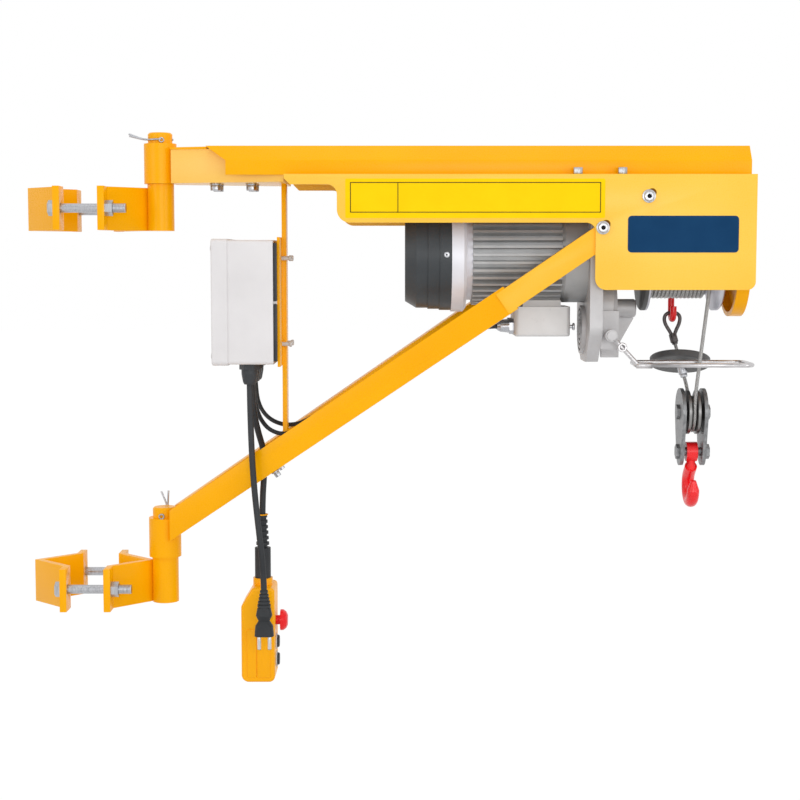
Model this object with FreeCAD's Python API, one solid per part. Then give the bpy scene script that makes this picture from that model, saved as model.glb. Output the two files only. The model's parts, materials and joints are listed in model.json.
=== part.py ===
import FreeCAD, Part
import math
import os

# Column-mounted hoist: a swinging jib on two column clamps, with an electric winch under its roof.
# Millimetres, +Z up. Lengths along X are measured from the pivot axis, and the finished model is
# moved so that its origin is the inner corner of the upper fixed jaw, at half the jaw's height.
# The near side is -Y, the far side +Y.

# Column clamps
JAW_PLATE = 9.0
JAW_HEIGHT = 58.0
JAW_WING_RUN = 49.0
JAW_EAR_REACH = 75.0
JAW_GAP = 50.0
CLAMP_SPACING = 511.0
CLAMP_BOLT_DIA = 12.0
CLAMP_BOLT_SIDE = 63.0
CLAMP_BOLT_HOLE = 13.0
CLAMP_HEX = 18.0
CLAMP_HEAD = 7.5
CLAMP_NUT = 10.0
CLAMP_THREAD_END = 17.0

# Pivot
STUB_DIA = 36.0
STUB_BITE = 3.0
STUB_RISE = 5.0
PIN_DIA = 33.0
PIN_RISE = 69.0
PIN_CHAMFER = 2.0
CLIP_HOLE = 4.5
CLIP_DROP = 9.0
SLEEVE_DIA = 44.0
SLEEVE_HEIGHT = 54.0
PIVOT_CLEARANCE = 0.06
THRUST_GAP = 0.3

# Arm root and roof channel
SHEET = 3.0
ARM_TOP = 82.0
ROOT_LENGTH = 172.0
ROOF_HALF_WIDTH = 75.0
ROOF_BEVEL_IN = 16.0
ROOF_BEVEL_DROP = 20.0
SHELF_TOP = 43.0
ROOF_LEFT_TOP = 68.0
ROOF_LEFT_FLANK = 96.0
ROOF_RIGHT = 787.0

# Side panels
PANEL_HALF_WIDTH = 97.0
PANEL_LEFT = 174.0
PANEL_RIGHT = 790.0
PANEL_NECK_BOTTOM = 29.5
PANEL_STEP = 243.0
PANEL_MIDDLE_BOTTOM = -20.0
PANEL_DROP = 580.0
PANEL_BOTTOM = -107.5
SHELF_WIDTH = 36.0
PANEL_NECK_RADIUS = 13.0
PANEL_HEEL_RADIUS = 17.0
PANEL_INNER_RADIUS = 12.0
PANEL_FOOT_RADIUS = 15.0
PANEL_TOE_RADIUS = 11.0
PANEL_NOSE = 8.0

# Struts
STRUT_FOOT_X = 0.0
STRUT_FOOT_RISE = 38.0
STRUT_FOOT_SIDE = 15.5
STRUT_BEND_X = 471.0
STRUT_END_X = 587.0
STRUT_END_Z = -38.6
STRUT_HEIGHT = 35.0
STRUT_THICK = 20.0
STRUT_TIP_HEIGHT = 30.0
STRUT_TIP_THICK = 14.0
STRUT_TIP_OVERLAP = 12.0

# Control box and its hanger
HANGER_X = 165.0
HANGER_THICK = 6.0
HANGER_WIDTH = 30.0
HANGER_TIE_DIA = 12.0
BACKPLATE_THICK = 3.5
BACKPLATE_HEIGHT = 173.0
BACKPLATE_WIDTH = 110.0
BOX_LEFT = 75.0
BOX_LID = 21.5
BOX_GAP = 4.5
BOX_GAP_INSET = 9.0
BOX_TOP = -42.0
BOX_HEIGHT = 165.0
BOX_HALF_WIDTH = 72.0
BOX_CORNER = 5.0
BOX_LID_LIP = 1.5
GLAND_X = 123.0
GLAND_PITCH = 30.0
GLAND_HEX = 24.0
GLAND_COLLAR = 8.0
GLAND_LENGTH = 28.0
GLAND_MOUTH_DIA = 15.0

# Motor
MOTOR_Z = -61.5
FAN_LEFT = 332.0
FAN_LENGTH = 62.0
FAN_DIA = 150.0
FAN_NOSE_LENGTH = 15.0
FAN_NOSE_DROP = 12.0
FAN_BAND_STEP = 1.5
BELL_LENGTH = 20.0
BELL_DIA = 154.0
MOTOR_NECK = 8.0
MOTOR_NECK_DIA = 122.0
FIN_LENGTH = 119.0
FIN_DIA = 136.0
FIN_HEIGHT = 9.0
FIN_COUNT = 40
FIN_FILL = 0.42
FRONT_LENGTH = 35.0
FRONT_DIA = 129.0
TERMINAL_LEFT = 479.0
TERMINAL_LENGTH = 75.0
TERMINAL_HALF_WIDTH = 42.0
TERMINAL_TOP = -131.0
TERMINAL_BOTTOM = -171.0
TERMINAL_NECK_INSET = 12.0
TERMINAL_CORNER = 6.0
TERMINAL_EDGE = 3.0
TERMINAL_GLAND_SIDE = 20.0
TERMINAL_GLAND_Z = -158.0
TERMINAL_GLAND_DIA = 18.0
TERMINAL_GLAND_LENGTH = 22.0
TERMINAL_GLAND_COLLAR = 6.0

# Gearbox
FLANGE_THICK = 17.0
FLANGE_HALF_WIDTH = 78.0
FLANGE_TOP = 5.0
FLANGE_SHOULDER = -165.0
FLANGE_BOTTOM = -206.0
FLANGE_FOOT = 30.0
FLANGE_CORNER = 14.0
FLANGE_SHOULDER_RADIUS = 18.0
COVER_Z = -163.0
COVER_DIA = 66.0
COVER_THICK = 5.0
COVER_RING = 3.5
COVER_GROOVE = 2.0
CASE_Z = -134.0
CASE_DIA = 100.0
CASE_LENGTH = 24.0
BOSS_DIA = 25.0
BOSS_LENGTH = 30.0
BRACKET_LENGTH = 80.0
BRACKET_BOTTOM = -8.0
BRACKET_WALL = 12.0
SWITCH_SIDE = -58.0
GUSSET_SIDE = 20.0
GUSSET_THICK = 12.0

# Drum and its end plate
DRUM_Z = -77.0
DRUM_LEFT = 652.0
DRUM_FLANGE = 9.0
DRUM_FLANGE_DIA = 120.0
DRUM_CORE_DIA = 77.0
DRUM_CORE_LENGTH = 90.0
SHAFT_DIA = 24.0
ROPE_DIA = 5.0
ROPE_LIFT = 0.3
END_PLATE_RIGHT = 790.0
END_PLATE_DEPTH = 17.0
END_PLATE_DIA = 136.0
TIE_ROD_DIA = 12.0
TIE_ROD_SIDE = 70.0

# Hook block
BLOCK_FROM_FLANGE = 22.0
BLOCK_Y = 14.0
SHEAVE_Z = -278.0
SHEAVE_DIA = 61.0
SHEAVE_WIDTH = 18.0
GROOVE_CLEARANCE = 0.5
AXLE_DIA = 12.0
CHEEK_PLATE = 5.0
CHEEK_GAP = 25.0
CHEEK_TOP_RADIUS = 33.0
CHEEK_FOOT_RADIUS = 19.0
HOOK_PIN_Z = -333.0
HOOK_PIN_DIA = 12.0
HOOK_EYE_DIA = 27.0
HOOK_WIDTH = 15.0
HOOK_BOWL_Z = -381.0
HOOK_BOWL_RADIUS = 21.0
HOOK_BODY_DIA = 17.0
HOOK_NECK_DIA = 12.0
HOOK_TIP_ANGLE = -170.0
HOOK_NECK_ANGLE = 52.0
HOOK_TIP_LENGTH = 14.0
HOOK_TIP_DIA = 7.0
JOURNAL_CLEARANCE = 0.05

# Dead end of the rope
ANCHOR_FROM_BLOCK = 21.0
ANCHOR_EYE_DIA = 25.0
ANCHOR_WIRE_DIA = 9.0
ANCHOR_BEND = 10.0
ANCHOR_BEND_Z = -141.0
ANCHOR_LEAN = 9.0
ANCHOR_SHANK = 22.0
ANCHOR_TIP = 8.0
THIMBLE_RADIUS = 13.0
THIMBLE_WIRE_DIA = 5.6
CRIMP_DIA = 10.0
CRIMP_LENGTH = 18.0
SEAT_GAP = 0.3
WEIGHT_DIA = 84.0
WEIGHT_THICK = 10.0
WEIGHT_Z = -210.0
WEIGHT_TILT = 20.0
WEIGHT_ROLL = 4.0
WEIGHT_HOLE = 9.0
FERRULE_LENGTH = 14.0
ROPE_STRAIGHT = 24.0

# Limit lever
LEVER_ROD_DIA = 6.0
LEVER_X = 604.0
LEVER_Z = -168.0
LEVER_NEAR_SIDE = -78.0
LEVER_FAR_SIDE = -6.0
LEVER_BEND_X = 641.0
LEVER_LOOP_Z = -207.5
LEVER_RIGHT = 794.0
LEVER_CORNER = 14.0
LEVER_HUB_DIA = 16.0
LEVER_HUB_LENGTH = 14.0
LEVER_PIN_DIA = 8.0

# Pendant
PENDANT_X = 135.0
PENDANT_LEFT = 107.0
PENDANT_RIGHT = 153.0
PENDANT_TOP = -516.0
PENDANT_BOTTOM = -648.0
PENDANT_HALF_WIDTH = 31.0
PENDANT_SHOULDER_IN = 16.0
PENDANT_SHOULDER_DROP = 26.0
PENDANT_ROUND = 4.0
PENDANT_NECK_DIA = 27.0
PENDANT_NECK = 9.0
BOOT_SLEEVE_DIA = 22.0
BOOT_SLEEVE_LENGTH = 42.0
BOOT_RIDGED_LENGTH = 46.0
BOOT_RIDGE_DIA = 18.0
BOOT_GROOVE_DIA = 13.0
BOOT_RIDGES = 6
STOP_Z = -567.0
STOP_HEAD_DIA = 29.0
STOP_HEAD_LENGTH = 10.0
STOP_STEM_DIA = 13.0
STOP_STAND = 6.0
STOP_STEM_DEPTH = 10.0
BUTTON_DIA = 17.0
UP_BUTTON_Z = -597.0
DOWN_BUTTON_Z = -622.0
BUTTON_STAND = 4.5
BUTTON_DEPTH = 8.0
PRESS_ROOM = 6.0

# Cords: routes are points chosen by hand
POWER_CORD_DIA = 8.5
PENDANT_CORD_DIA = 8.5
CABLE_DIA = 6.0
PLUG_X = 141.5
PLUG_Y = -62.0
PLUG_TOP = -513.0
PLUG_BOOT_LENGTH = 24.0
PLUG_RIDGES = 5
PLUG_BODY_LENGTH = 38.0
PLUG_BODY_WIDTH = 26.0
PLUG_BODY_DEPTH = 20.0
PLUG_PIN_DIA = 4.8
PLUG_PIN_LENGTH = 19.0
PLUG_PIN_PITCH = 14.0

# Places worked out from the sizes above
JAW_INNER = JAW_PLATE * math.sqrt(2.0)
JAW_NOSE = STUB_BITE - STUB_DIA / 2
PIVOT_FROM_ORIGIN = JAW_INNER - JAW_NOSE
STUB_TOP = JAW_HEIGHT / 2 + STUB_RISE
SLEEVE_BOTTOM = STUB_TOP + THRUST_GAP
SLEEVE_RADIUS = SLEEVE_DIA / 2
STRUT_FOOT_Z = SLEEVE_BOTTOM - CLAMP_SPACING + STRUT_FOOT_RISE
FLANK_TOP = ARM_TOP - ROOF_BEVEL_DROP
ROOF_TOP_HALF = ROOF_HALF_WIDTH - ROOF_BEVEL_IN
PANEL_INNER = PANEL_HALF_WIDTH - SHEET
BOX_BOTTOM = BOX_TOP - BOX_HEIGHT
BACKPLATE_X = HANGER_X - BACKPLATE_THICK
BOX_BACK = BACKPLATE_X - BOX_GAP
BELL_LEFT = FAN_LEFT + FAN_LENGTH
FIN_LEFT = BELL_LEFT + BELL_LENGTH + MOTOR_NECK
FRONT_LEFT = FIN_LEFT + FIN_LENGTH
FLANGE_LEFT = FRONT_LEFT + FRONT_LENGTH
CASE_LEFT = FLANGE_LEFT + FLANGE_THICK
CORE_LEFT = DRUM_LEFT + DRUM_FLANGE
CORE_RIGHT = CORE_LEFT + DRUM_CORE_LENGTH
END_PLATE_LEFT = END_PLATE_RIGHT - END_PLATE_DEPTH
ROPE_RADIUS = ROPE_DIA / 2
DRUM_ROPE_RADIUS = DRUM_CORE_DIA / 2 + ROPE_RADIUS + ROPE_LIFT
ROPE_PITCH = ROPE_DIA + ROPE_LIFT
LIVE_ROPE_X = CORE_RIGHT - 0.8 * ROPE_DIA
BLOCK_X = CORE_RIGHT - BLOCK_FROM_FLANGE
ANCHOR_X = BLOCK_X - ANCHOR_FROM_BLOCK
ROPE_TURNS = int((DRUM_CORE_LENGTH - 2.9 * ROPE_DIA) / ROPE_PITCH)
GROOVE_RADIUS = SHEAVE_DIA / 2 - ROPE_DIA
GLAND_SIDES = [GLAND_PITCH * step for step in (-1.5, -0.5, 0.5, 1.5)]
BOOT_TOP = PENDANT_TOP + PENDANT_NECK + BOOT_SLEEVE_LENGTH + BOOT_RIDGED_LENGTH


def vec(x, y, z):
    return FreeCAD.Vector(x, y, z)


X_AXIS = vec(1, 0, 0)
Y_AXIS = vec(0, 1, 0)
Z_AXIS = vec(0, 0, 1)


# Basic forms

def block(x0, x1, y0, y1, z0, z1):
    return Part.makeBox(x1 - x0, y1 - y0, z1 - z0, vec(x0, y0, z0))


def rod(start, direction, diameter, length):
    return Part.makeCylinder(diameter / 2, length, start, direction)


def rod_between(start, end, diameter):
    return rod(start, end - start, diameter, (end - start).Length)


def hex_prism(start, direction, flats, length):
    """A hexagonal bolt head or nut, across its flats."""
    side = direction.cross(Y_AXIS)
    if side.Length < 0.5:
        side = direction.cross(X_AXIS)
    side.normalize()
    other = direction.cross(side).normalize()
    corner = flats / math.sqrt(3.0)
    points = []
    for step in range(7):
        turn = math.radians(60 * step)
        points.append(start + side * (corner * math.cos(turn)) + other * (corner * math.sin(turn)))
    return Part.Face(Part.makePolygon(points)).extrude(FreeCAD.Vector(direction) * length)


def join(*shapes):
    return shapes[0].multiFuse(list(shapes[1:])).removeSplitter()


def mirrored(shape):
    return shape.mirror(vec(0, 0, 0), Y_AXIS)


def prism(points, along):
    """A polygon through the points, pulled along a vector."""
    return Part.Face(Part.makePolygon(points + [points[0]])).extrude(along)


def turned_x(profile, y, z):
    """A solid of revolution about an axis along X, from (x, radius) points."""
    points = [vec(x, y, z + radius) for x, radius in profile]
    return Part.Face(Part.makePolygon(points + [points[0]])).revolve(vec(0, y, z), X_AXIS, 360)


def turned_z(profile, x, y):
    """A solid of revolution about a vertical axis, from (z, radius) points."""
    points = [vec(x + radius, y, z) for z, radius in profile]
    return Part.Face(Part.makePolygon(points + [points[0]])).revolve(vec(x, y, 0), Z_AXIS, 360)


def folded_sheet(points, thickness):
    """The closed outline of a folded sheet: the points are its outer face, the sheet lies to their left."""
    inner = []
    for place, point in enumerate(points):
        normals = []
        for first, last in ((place - 1, place), (place, place + 1)):
            if first < 0 or last >= len(points):
                continue
            run = math.hypot(points[last][0] - points[first][0], points[last][1] - points[first][1])
            normals.append((-(points[last][1] - points[first][1]) / run,
                            (points[last][0] - points[first][0]) / run))
        across = sum(n[0] for n in normals) / len(normals)
        up = sum(n[1] for n in normals) / len(normals)
        reach = thickness / (across * across + up * up)
        inner.append((point[0] + across * reach, point[1] + up * reach))
    return points + inner[::-1]


def rounded_face(corners, to_space):
    """A face whose (a, b, radius) corners are rounded, placed by to_space(a, b)."""
    bends = []
    for place, (a, b, radius) in enumerate(corners):
        here = vec(a, b, 0)
        back = (vec(*corners[place - 1][:2], 0) - here).normalize()
        ahead = (vec(*corners[(place + 1) % len(corners)][:2], 0) - here).normalize()
        half = back.getAngle(ahead) / 2
        centre = here + (back + ahead).normalize() * (radius / math.sin(half))
        middle = centre + (here - centre).normalize() * radius
        cut = radius / math.tan(half)
        bends.append((here + back * cut, middle, here + ahead * cut))
    edges = []
    for place, bend in enumerate(bends):
        spots = [to_space(point.x, point.y) for point in bend]
        edges.append(Part.Arc(*spots).toShape())
        start = bends[(place + 1) % len(bends)][0]
        if (start - bend[2]).Length > 0.001:
            edges.append(Part.LineSegment(spots[2], to_space(start.x, start.y)).toShape())
    return Part.Face(Part.Wire(edges))


def two_circle_plate(low, high, start_x, thickness):
    """A plate across X whose outline wraps two circles, given as (y, z, radius), one above the other."""
    gap = high[1] - low[1]
    lean = math.asin((high[2] - low[2]) / gap)
    spots = []
    for y, z, radius in (low, high):
        side = radius * math.cos(lean)
        rise = -radius * math.sin(lean)
        spots.append((vec(start_x, y - side, z + rise), vec(start_x, y + side, z + rise)))
    (low_near, low_far), (high_near, high_far) = spots
    edges = [
        Part.LineSegment(low_far, high_far).toShape(),
        Part.Arc(high_far, vec(start_x, high[0], high[1] + high[2]), high_near).toShape(),
        Part.LineSegment(high_near, low_near).toShape(),
        Part.Arc(low_near, vec(start_x, low[0], low[1] - low[2]), low_far).toShape(),
    ]
    return Part.Face(Part.Wire(edges)).extrude(X_AXIS * thickness)


# Routes of rods, ropes and cords

def cord_radii(points):
    """The largest round bend at each inner point of a cord."""
    radii = []
    for before, here, after in zip(points, points[1:], points[2:]):
        turn = (here - before).getAngle(after - here)
        shorter = min((here - before).Length, (after - here).Length)
        radii.append(0.45 * shorter / math.tan(turn / 2))
    return radii


def tube(points, diameter, radii):
    """A round bar along straight runs that are joined by tangent arcs."""
    edges = []
    start = points[0]
    for place, radius in enumerate(radii):
        here = points[place + 1]
        back = (points[place] - here).normalize()
        ahead = (points[place + 2] - here).normalize()
        half = back.getAngle(ahead) / 2
        cut = radius / math.tan(half)
        centre = here + (back + ahead).normalize() * (radius / math.sin(half))
        middle = centre + (here - centre).normalize() * radius
        if (here + back * cut - start).Length > 0.001:
            edges.append(Part.LineSegment(start, here + back * cut).toShape())
        edges.append(Part.Arc(here + back * cut, middle, here + ahead * cut).toShape())
        start = here + ahead * cut
    edges.append(Part.LineSegment(start, points[-1]).toShape())
    path = Part.Wire(edges)
    section = Part.Wire(Part.Circle(points[0], points[1] - points[0], diameter / 2).toShape())
    solid = path.makePipeShell([section], True, False)
    expected = math.pi * diameter * diameter / 4 * path.Length
    return solid, path.Length, solid.Volume / expected


def cord(name, points, diameter):
    radii = cord_radii(points)
    solid, length, ratio = tube(points, diameter, radii)
    print(name, "length %.0f" % length, "volume ratio %.4f" % ratio,
          "radii", " ".join("%.0f" % radius for radius in radii))
    return solid


# Column clamps

def jaw_outline(nose, side):
    """Plan of a V jaw with ears: side is -1 when it opens towards -X, and 1 towards +X."""
    run = JAW_WING_RUN
    outer = [(-run, JAW_EAR_REACH), (-run, run), (0, 0), (-run, -run), (-run, -JAW_EAR_REACH)]
    outline = folded_sheet(outer, -JAW_PLATE)
    return [(nose - side * x, y) for x, y in outline]


def jaw(nose, side, level):
    bottom = level - JAW_HEIGHT / 2
    points = [vec(x, y, bottom) for x, y in jaw_outline(nose, side)]
    plate = prism(points, Z_AXIS * JAW_HEIGHT)
    for bolt_side in (-CLAMP_BOLT_SIDE, CLAMP_BOLT_SIDE):
        start = vec(nose + side * JAW_WING_RUN - 2 * JAW_PLATE, bolt_side, level)
        plate = plate.cut(rod(start, X_AXIS, CLAMP_BOLT_HOLE, 4 * JAW_PLATE))
    return plate


FIXED_EAR_RIGHT = JAW_NOSE - JAW_WING_RUN
LOOSE_EAR_LEFT = FIXED_EAR_RIGHT - 2 * JAW_PLATE - JAW_GAP
LOOSE_NOSE = LOOSE_EAR_LEFT - JAW_WING_RUN


def fixed_jaw(level):
    stub = rod(vec(0, 0, level - JAW_HEIGHT), Z_AXIS, STUB_DIA, 2 * JAW_HEIGHT)
    return jaw(JAW_NOSE, -1, level).cut(stub)


def loose_jaw(level):
    return jaw(LOOSE_NOSE, 1, level)


def clamp_bolt(side, level):
    """A hexagon bolt from the loose ear to its nut on the fixed ear."""
    head = hex_prism(vec(LOOSE_EAR_LEFT, side, level), -X_AXIS, CLAMP_HEX, CLAMP_HEAD)
    nut = hex_prism(vec(FIXED_EAR_RIGHT, side, level), X_AXIS, CLAMP_HEX, CLAMP_NUT)
    end = FIXED_EAR_RIGHT + CLAMP_NUT + CLAMP_THREAD_END
    shank = rod(vec(LOOSE_EAR_LEFT, side, level), X_AXIS, CLAMP_BOLT_DIA, end - LOOSE_EAR_LEFT)
    return join(head, shank, nut)


def clamp_bolts():
    bolts = []
    for level in (0, -CLAMP_SPACING):
        for side in (-CLAMP_BOLT_SIDE, CLAMP_BOLT_SIDE):
            bolts.append(clamp_bolt(side, level))
    return Part.makeCompound(bolts)


def pivot_pin(level):
    """The stub welded into the jaw's nose, with the pin that the sleeve turns on."""
    bottom = level - JAW_HEIGHT / 2
    shoulder = level + STUB_TOP
    top = shoulder + PIN_RISE
    pin = turned_z([(bottom, 0), (bottom, STUB_DIA / 2), (shoulder, STUB_DIA / 2), (shoulder, PIN_DIA / 2),
                    (top - PIN_CHAMFER, PIN_DIA / 2), (top, PIN_DIA / 2 - PIN_CHAMFER), (top, 0)], 0, 0)
    return pin.cut(rod(vec(-PIN_DIA, 0, top - CLIP_DROP), X_AXIS, CLIP_HOLE, 2 * PIN_DIA))


# Jib frame

def sleeve(level):
    bottom = level + SLEEVE_BOTTOM
    shell = rod(vec(0, 0, bottom), Z_AXIS, SLEEVE_DIA, SLEEVE_HEIGHT)
    bore = rod(vec(0, 0, bottom - 1), Z_AXIS, PIN_DIA + 2 * PIVOT_CLEARANCE, SLEEVE_HEIGHT + 2)
    return shell.cut(bore)


def roof_outer():
    """Outer face of the roof's section as (y, z), from the far flank over the top to the near flank."""
    return [(ROOF_HALF_WIDTH, SHELF_TOP), (ROOF_HALF_WIDTH, FLANK_TOP), (ROOF_TOP_HALF, ARM_TOP),
            (-ROOF_TOP_HALF, ARM_TOP), (-ROOF_HALF_WIDTH, FLANK_TOP), (-ROOF_HALF_WIDTH, SHELF_TOP)]


def arm_root():
    """The tapered box that widens from the upper sleeve to the full roof."""
    inside = folded_sheet(roof_outer(), SHEET)[len(roof_outer()):]
    wide = ROOF_HALF_WIDTH - SHEET
    plan = [(0, -SLEEVE_RADIUS), (ROOT_LENGTH, -wide), (ROOT_LENGTH, wide), (0, SLEEVE_RADIUS)]
    box = prism([vec(x, y, SLEEVE_BOTTOM) for x, y in plan], Z_AXIS * (ARM_TOP - SHEET - SLEEVE_BOTTOM))
    room = [(y, z) for y, z in inside if z > SHELF_TOP]
    room = [(wide, SLEEVE_BOTTOM - 1)] + room[::-1] + [(-wide, SLEEVE_BOTTOM - 1)]
    under_roof = prism([vec(-1, y, z) for y, z in room], X_AXIS * (ROOT_LENGTH + 2))
    barrel = rod(vec(0, 0, SLEEVE_BOTTOM - 1), Z_AXIS, SLEEVE_DIA, ARM_TOP)
    return box.common(under_roof).cut(barrel)


def roof_channel():
    """The folded roof: top, two bevels and two flanks, with its left corners cut on a slant."""
    section = folded_sheet(roof_outer(), SHEET)
    channel = prism([vec(ROOF_LEFT_TOP, y, z) for y, z in section], X_AXIS * (ROOF_RIGHT - ROOF_LEFT_TOP))
    wide = ROOF_HALF_WIDTH + 1
    slant = [(ROOF_LEFT_TOP - 1, ARM_TOP), (ROOF_LEFT_TOP, ARM_TOP), (ROOF_LEFT_FLANK, FLANK_TOP),
             (ROOF_LEFT_FLANK, SHELF_TOP - 1), (ROOF_LEFT_TOP - 1, SHELF_TOP - 1)]
    return channel.cut(prism([vec(x, -wide, z) for x, z in slant], Y_AXIS * (2 * wide)))


def side_panel():
    """The near side panel: a deep stepped plate with a shelf folded in under the roof's flank."""
    outline = [
        (PANEL_LEFT, SHELF_TOP, 0.5),
        (PANEL_LEFT, PANEL_NECK_BOTTOM + PANEL_NOSE, 2.0),
        (PANEL_LEFT + PANEL_NOSE, PANEL_NECK_BOTTOM, 2.0),
        (PANEL_STEP, PANEL_NECK_BOTTOM, PANEL_NECK_RADIUS),
        (PANEL_STEP, PANEL_MIDDLE_BOTTOM, PANEL_HEEL_RADIUS),
        (PANEL_DROP, PANEL_MIDDLE_BOTTOM, PANEL_INNER_RADIUS),
        (PANEL_DROP, PANEL_BOTTOM, PANEL_FOOT_RADIUS),
        (PANEL_RIGHT, PANEL_BOTTOM, PANEL_TOE_RADIUS),
        (PANEL_RIGHT, SHELF_TOP, 0.5),
    ]
    plate = rounded_face(outline, lambda x, z: vec(x, -PANEL_HALF_WIDTH, z)).extrude(Y_AXIS * SHEET)
    shelf = block(PANEL_LEFT + 1, PANEL_RIGHT - 1, -PANEL_HALF_WIDTH + 1, -PANEL_HALF_WIDTH + SHELF_WIDTH,
                  SHELF_TOP - SHEET, SHELF_TOP)
    return join(plate, shelf)


def strut_line(x):
    """Centre height of a strut at a distance from the pivot."""
    share = (x - STRUT_FOOT_X) / (STRUT_END_X - STRUT_FOOT_X)
    return STRUT_FOOT_Z + share * (STRUT_END_Z - STRUT_FOOT_Z)


def strut_bar(start, end, height, thickness):
    """A flat bar from start to end, its height in the upright plane through its line."""
    along = end - start
    bar = Part.makeBox(along.Length, thickness, height, vec(0, -thickness / 2, -height / 2))
    level = math.hypot(along.x, along.y)
    bar.rotate(vec(0, 0, 0), Y_AXIS, -math.degrees(math.atan2(along.z, level)))
    bar.rotate(vec(0, 0, 0), Z_AXIS, math.degrees(math.atan2(along.y, along.x)))
    bar.translate(start)
    return bar


def strut():
    """The near strut: it spreads from the lower sleeve, then runs along the panel to its rounded end."""
    bend_side = PANEL_INNER - STRUT_THICK / 2
    tip_side = PANEL_INNER - STRUT_TIP_THICK / 2
    foot = vec(STRUT_FOOT_X, -STRUT_FOOT_SIDE, STRUT_FOOT_Z)
    bend = vec(STRUT_BEND_X, -bend_side, strut_line(STRUT_BEND_X))
    tip_start = STRUT_BEND_X - STRUT_TIP_OVERLAP
    inner = vec(tip_start, -tip_side, strut_line(tip_start))
    end = vec(STRUT_END_X, -tip_side, strut_line(STRUT_END_X))
    lower = strut_bar(foot, bend, STRUT_HEIGHT, STRUT_THICK)
    upper = strut_bar(inner, end, STRUT_TIP_HEIGHT, STRUT_TIP_THICK)
    nose = rod(end - Y_AXIS * (STRUT_TIP_THICK / 2), Y_AXIS, STRUT_TIP_HEIGHT, STRUT_TIP_THICK)
    outside = block(0, STRUT_END_X + STRUT_HEIGHT, -2 * PANEL_HALF_WIDTH, -PANEL_INNER,
                    STRUT_FOOT_Z * 2, ARM_TOP)
    middle = block(-STRUT_END_X, STRUT_END_X, 0, PANEL_HALF_WIDTH, STRUT_FOOT_Z * 2, ARM_TOP)
    barrel = rod(vec(0, 0, STRUT_FOOT_Z * 2), Z_AXIS, SLEEVE_DIA, -STRUT_FOOT_Z * 2)
    return join(lower, upper, nose).cut(outside).cut(middle).cut(barrel)


def box_hanger():
    """The flat bar under the arm root with the box's backplate, standing on a tie between the struts."""
    tie_x = HANGER_X + HANGER_THICK / 2
    tie_z = strut_line(tie_x)
    half = HANGER_WIDTH / 2
    bar = block(HANGER_X, HANGER_X + HANGER_THICK, -half, half, tie_z, SLEEVE_BOTTOM)
    plate_top = BOX_TOP + (BACKPLATE_HEIGHT - BOX_HEIGHT) / 2
    wide = BACKPLATE_WIDTH / 2
    plate = block(BACKPLATE_X, HANGER_X, -wide, wide, plate_top - BACKPLATE_HEIGHT, plate_top)
    reach = PANEL_INNER
    tie = rod(vec(tie_x, -reach, tie_z), Y_AXIS, HANGER_TIE_DIA, 2 * reach)
    near = strut()
    tie = tie.cut(near).cut(mirrored(near))
    tie = max(tie.Solids, key=lambda solid: solid.Volume if abs(solid.CenterOfMass.y) < 1 else 0)
    return join(bar, plate, tie)


# Control box

def control_box():
    """The enclosure's base, with a smaller foot that holds it off the backplate."""
    left = BOX_LEFT + BOX_LID
    shell = block(left, BOX_BACK, -BOX_HALF_WIDTH, BOX_HALF_WIDTH, BOX_BOTTOM, BOX_TOP)
    along = [edge for edge in shell.Edges if abs(edge.tangentAt(edge.FirstParameter).x) > 0.9]
    shell = shell.makeFillet(BOX_CORNER, along)
    foot = block(BOX_BACK, BACKPLATE_X, -BOX_HALF_WIDTH + BOX_GAP_INSET, BOX_HALF_WIDTH - BOX_GAP_INSET,
                 BOX_BOTTOM + BOX_GAP_INSET, BOX_TOP - BOX_GAP_INSET)
    return join(shell, foot)


def control_box_lid():
    lip = BOX_LID_LIP
    lid = block(BOX_LEFT, BOX_LEFT + BOX_LID, -BOX_HALF_WIDTH - lip, BOX_HALF_WIDTH + lip,
                BOX_BOTTOM - lip, BOX_TOP + lip)
    along = [edge for edge in lid.Edges if abs(edge.tangentAt(edge.FirstParameter).x) > 0.9]
    lid = lid.makeFillet(BOX_CORNER + lip, along)
    front = [edge for edge in lid.Edges if abs(edge.BoundBox.XMax - BOX_LEFT) < 0.01]
    return lid.makeFillet(BOX_CORNER / 2, front)


def box_glands():
    """Four cable glands in a row under the enclosure."""
    glands = []
    for side in GLAND_SIDES:
        collar = hex_prism(vec(GLAND_X, side, BOX_BOTTOM), -Z_AXIS, GLAND_HEX, GLAND_COLLAR)
        low = BOX_BOTTOM - GLAND_LENGTH
        wide = GLAND_HEX / 2
        nut = turned_z([(BOX_BOTTOM - GLAND_COLLAR, 0), (BOX_BOTTOM - GLAND_COLLAR, wide - 1),
                        (BOX_BOTTOM - GLAND_LENGTH / 2, wide - 1), (low + 3, GLAND_MOUTH_DIA / 2 + 1.5),
                        (low, GLAND_MOUTH_DIA / 2), (low, 0)], GLAND_X, side)
        glands.append(join(collar, nut))
    return Part.makeCompound(glands)


# Motor

def motor_fan_cover():
    """The pressed fan cover with its sloped nose and two stepped bands."""
    wide = FAN_DIA / 2
    band = (FAN_LENGTH - FAN_NOSE_LENGTH) / 3
    nose = FAN_LEFT + FAN_NOSE_LENGTH
    return turned_x([
        (FAN_LEFT, 0), (FAN_LEFT, wide - FAN_NOSE_DROP), (nose, wide - 2 * FAN_BAND_STEP),
        (nose + band, wide - 2 * FAN_BAND_STEP), (nose + band, wide - FAN_BAND_STEP),
        (nose + 2 * band, wide - FAN_BAND_STEP), (nose + 2 * band, wide), (BELL_LEFT, wide), (BELL_LEFT, 0),
    ], 0, MOTOR_Z)


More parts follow.
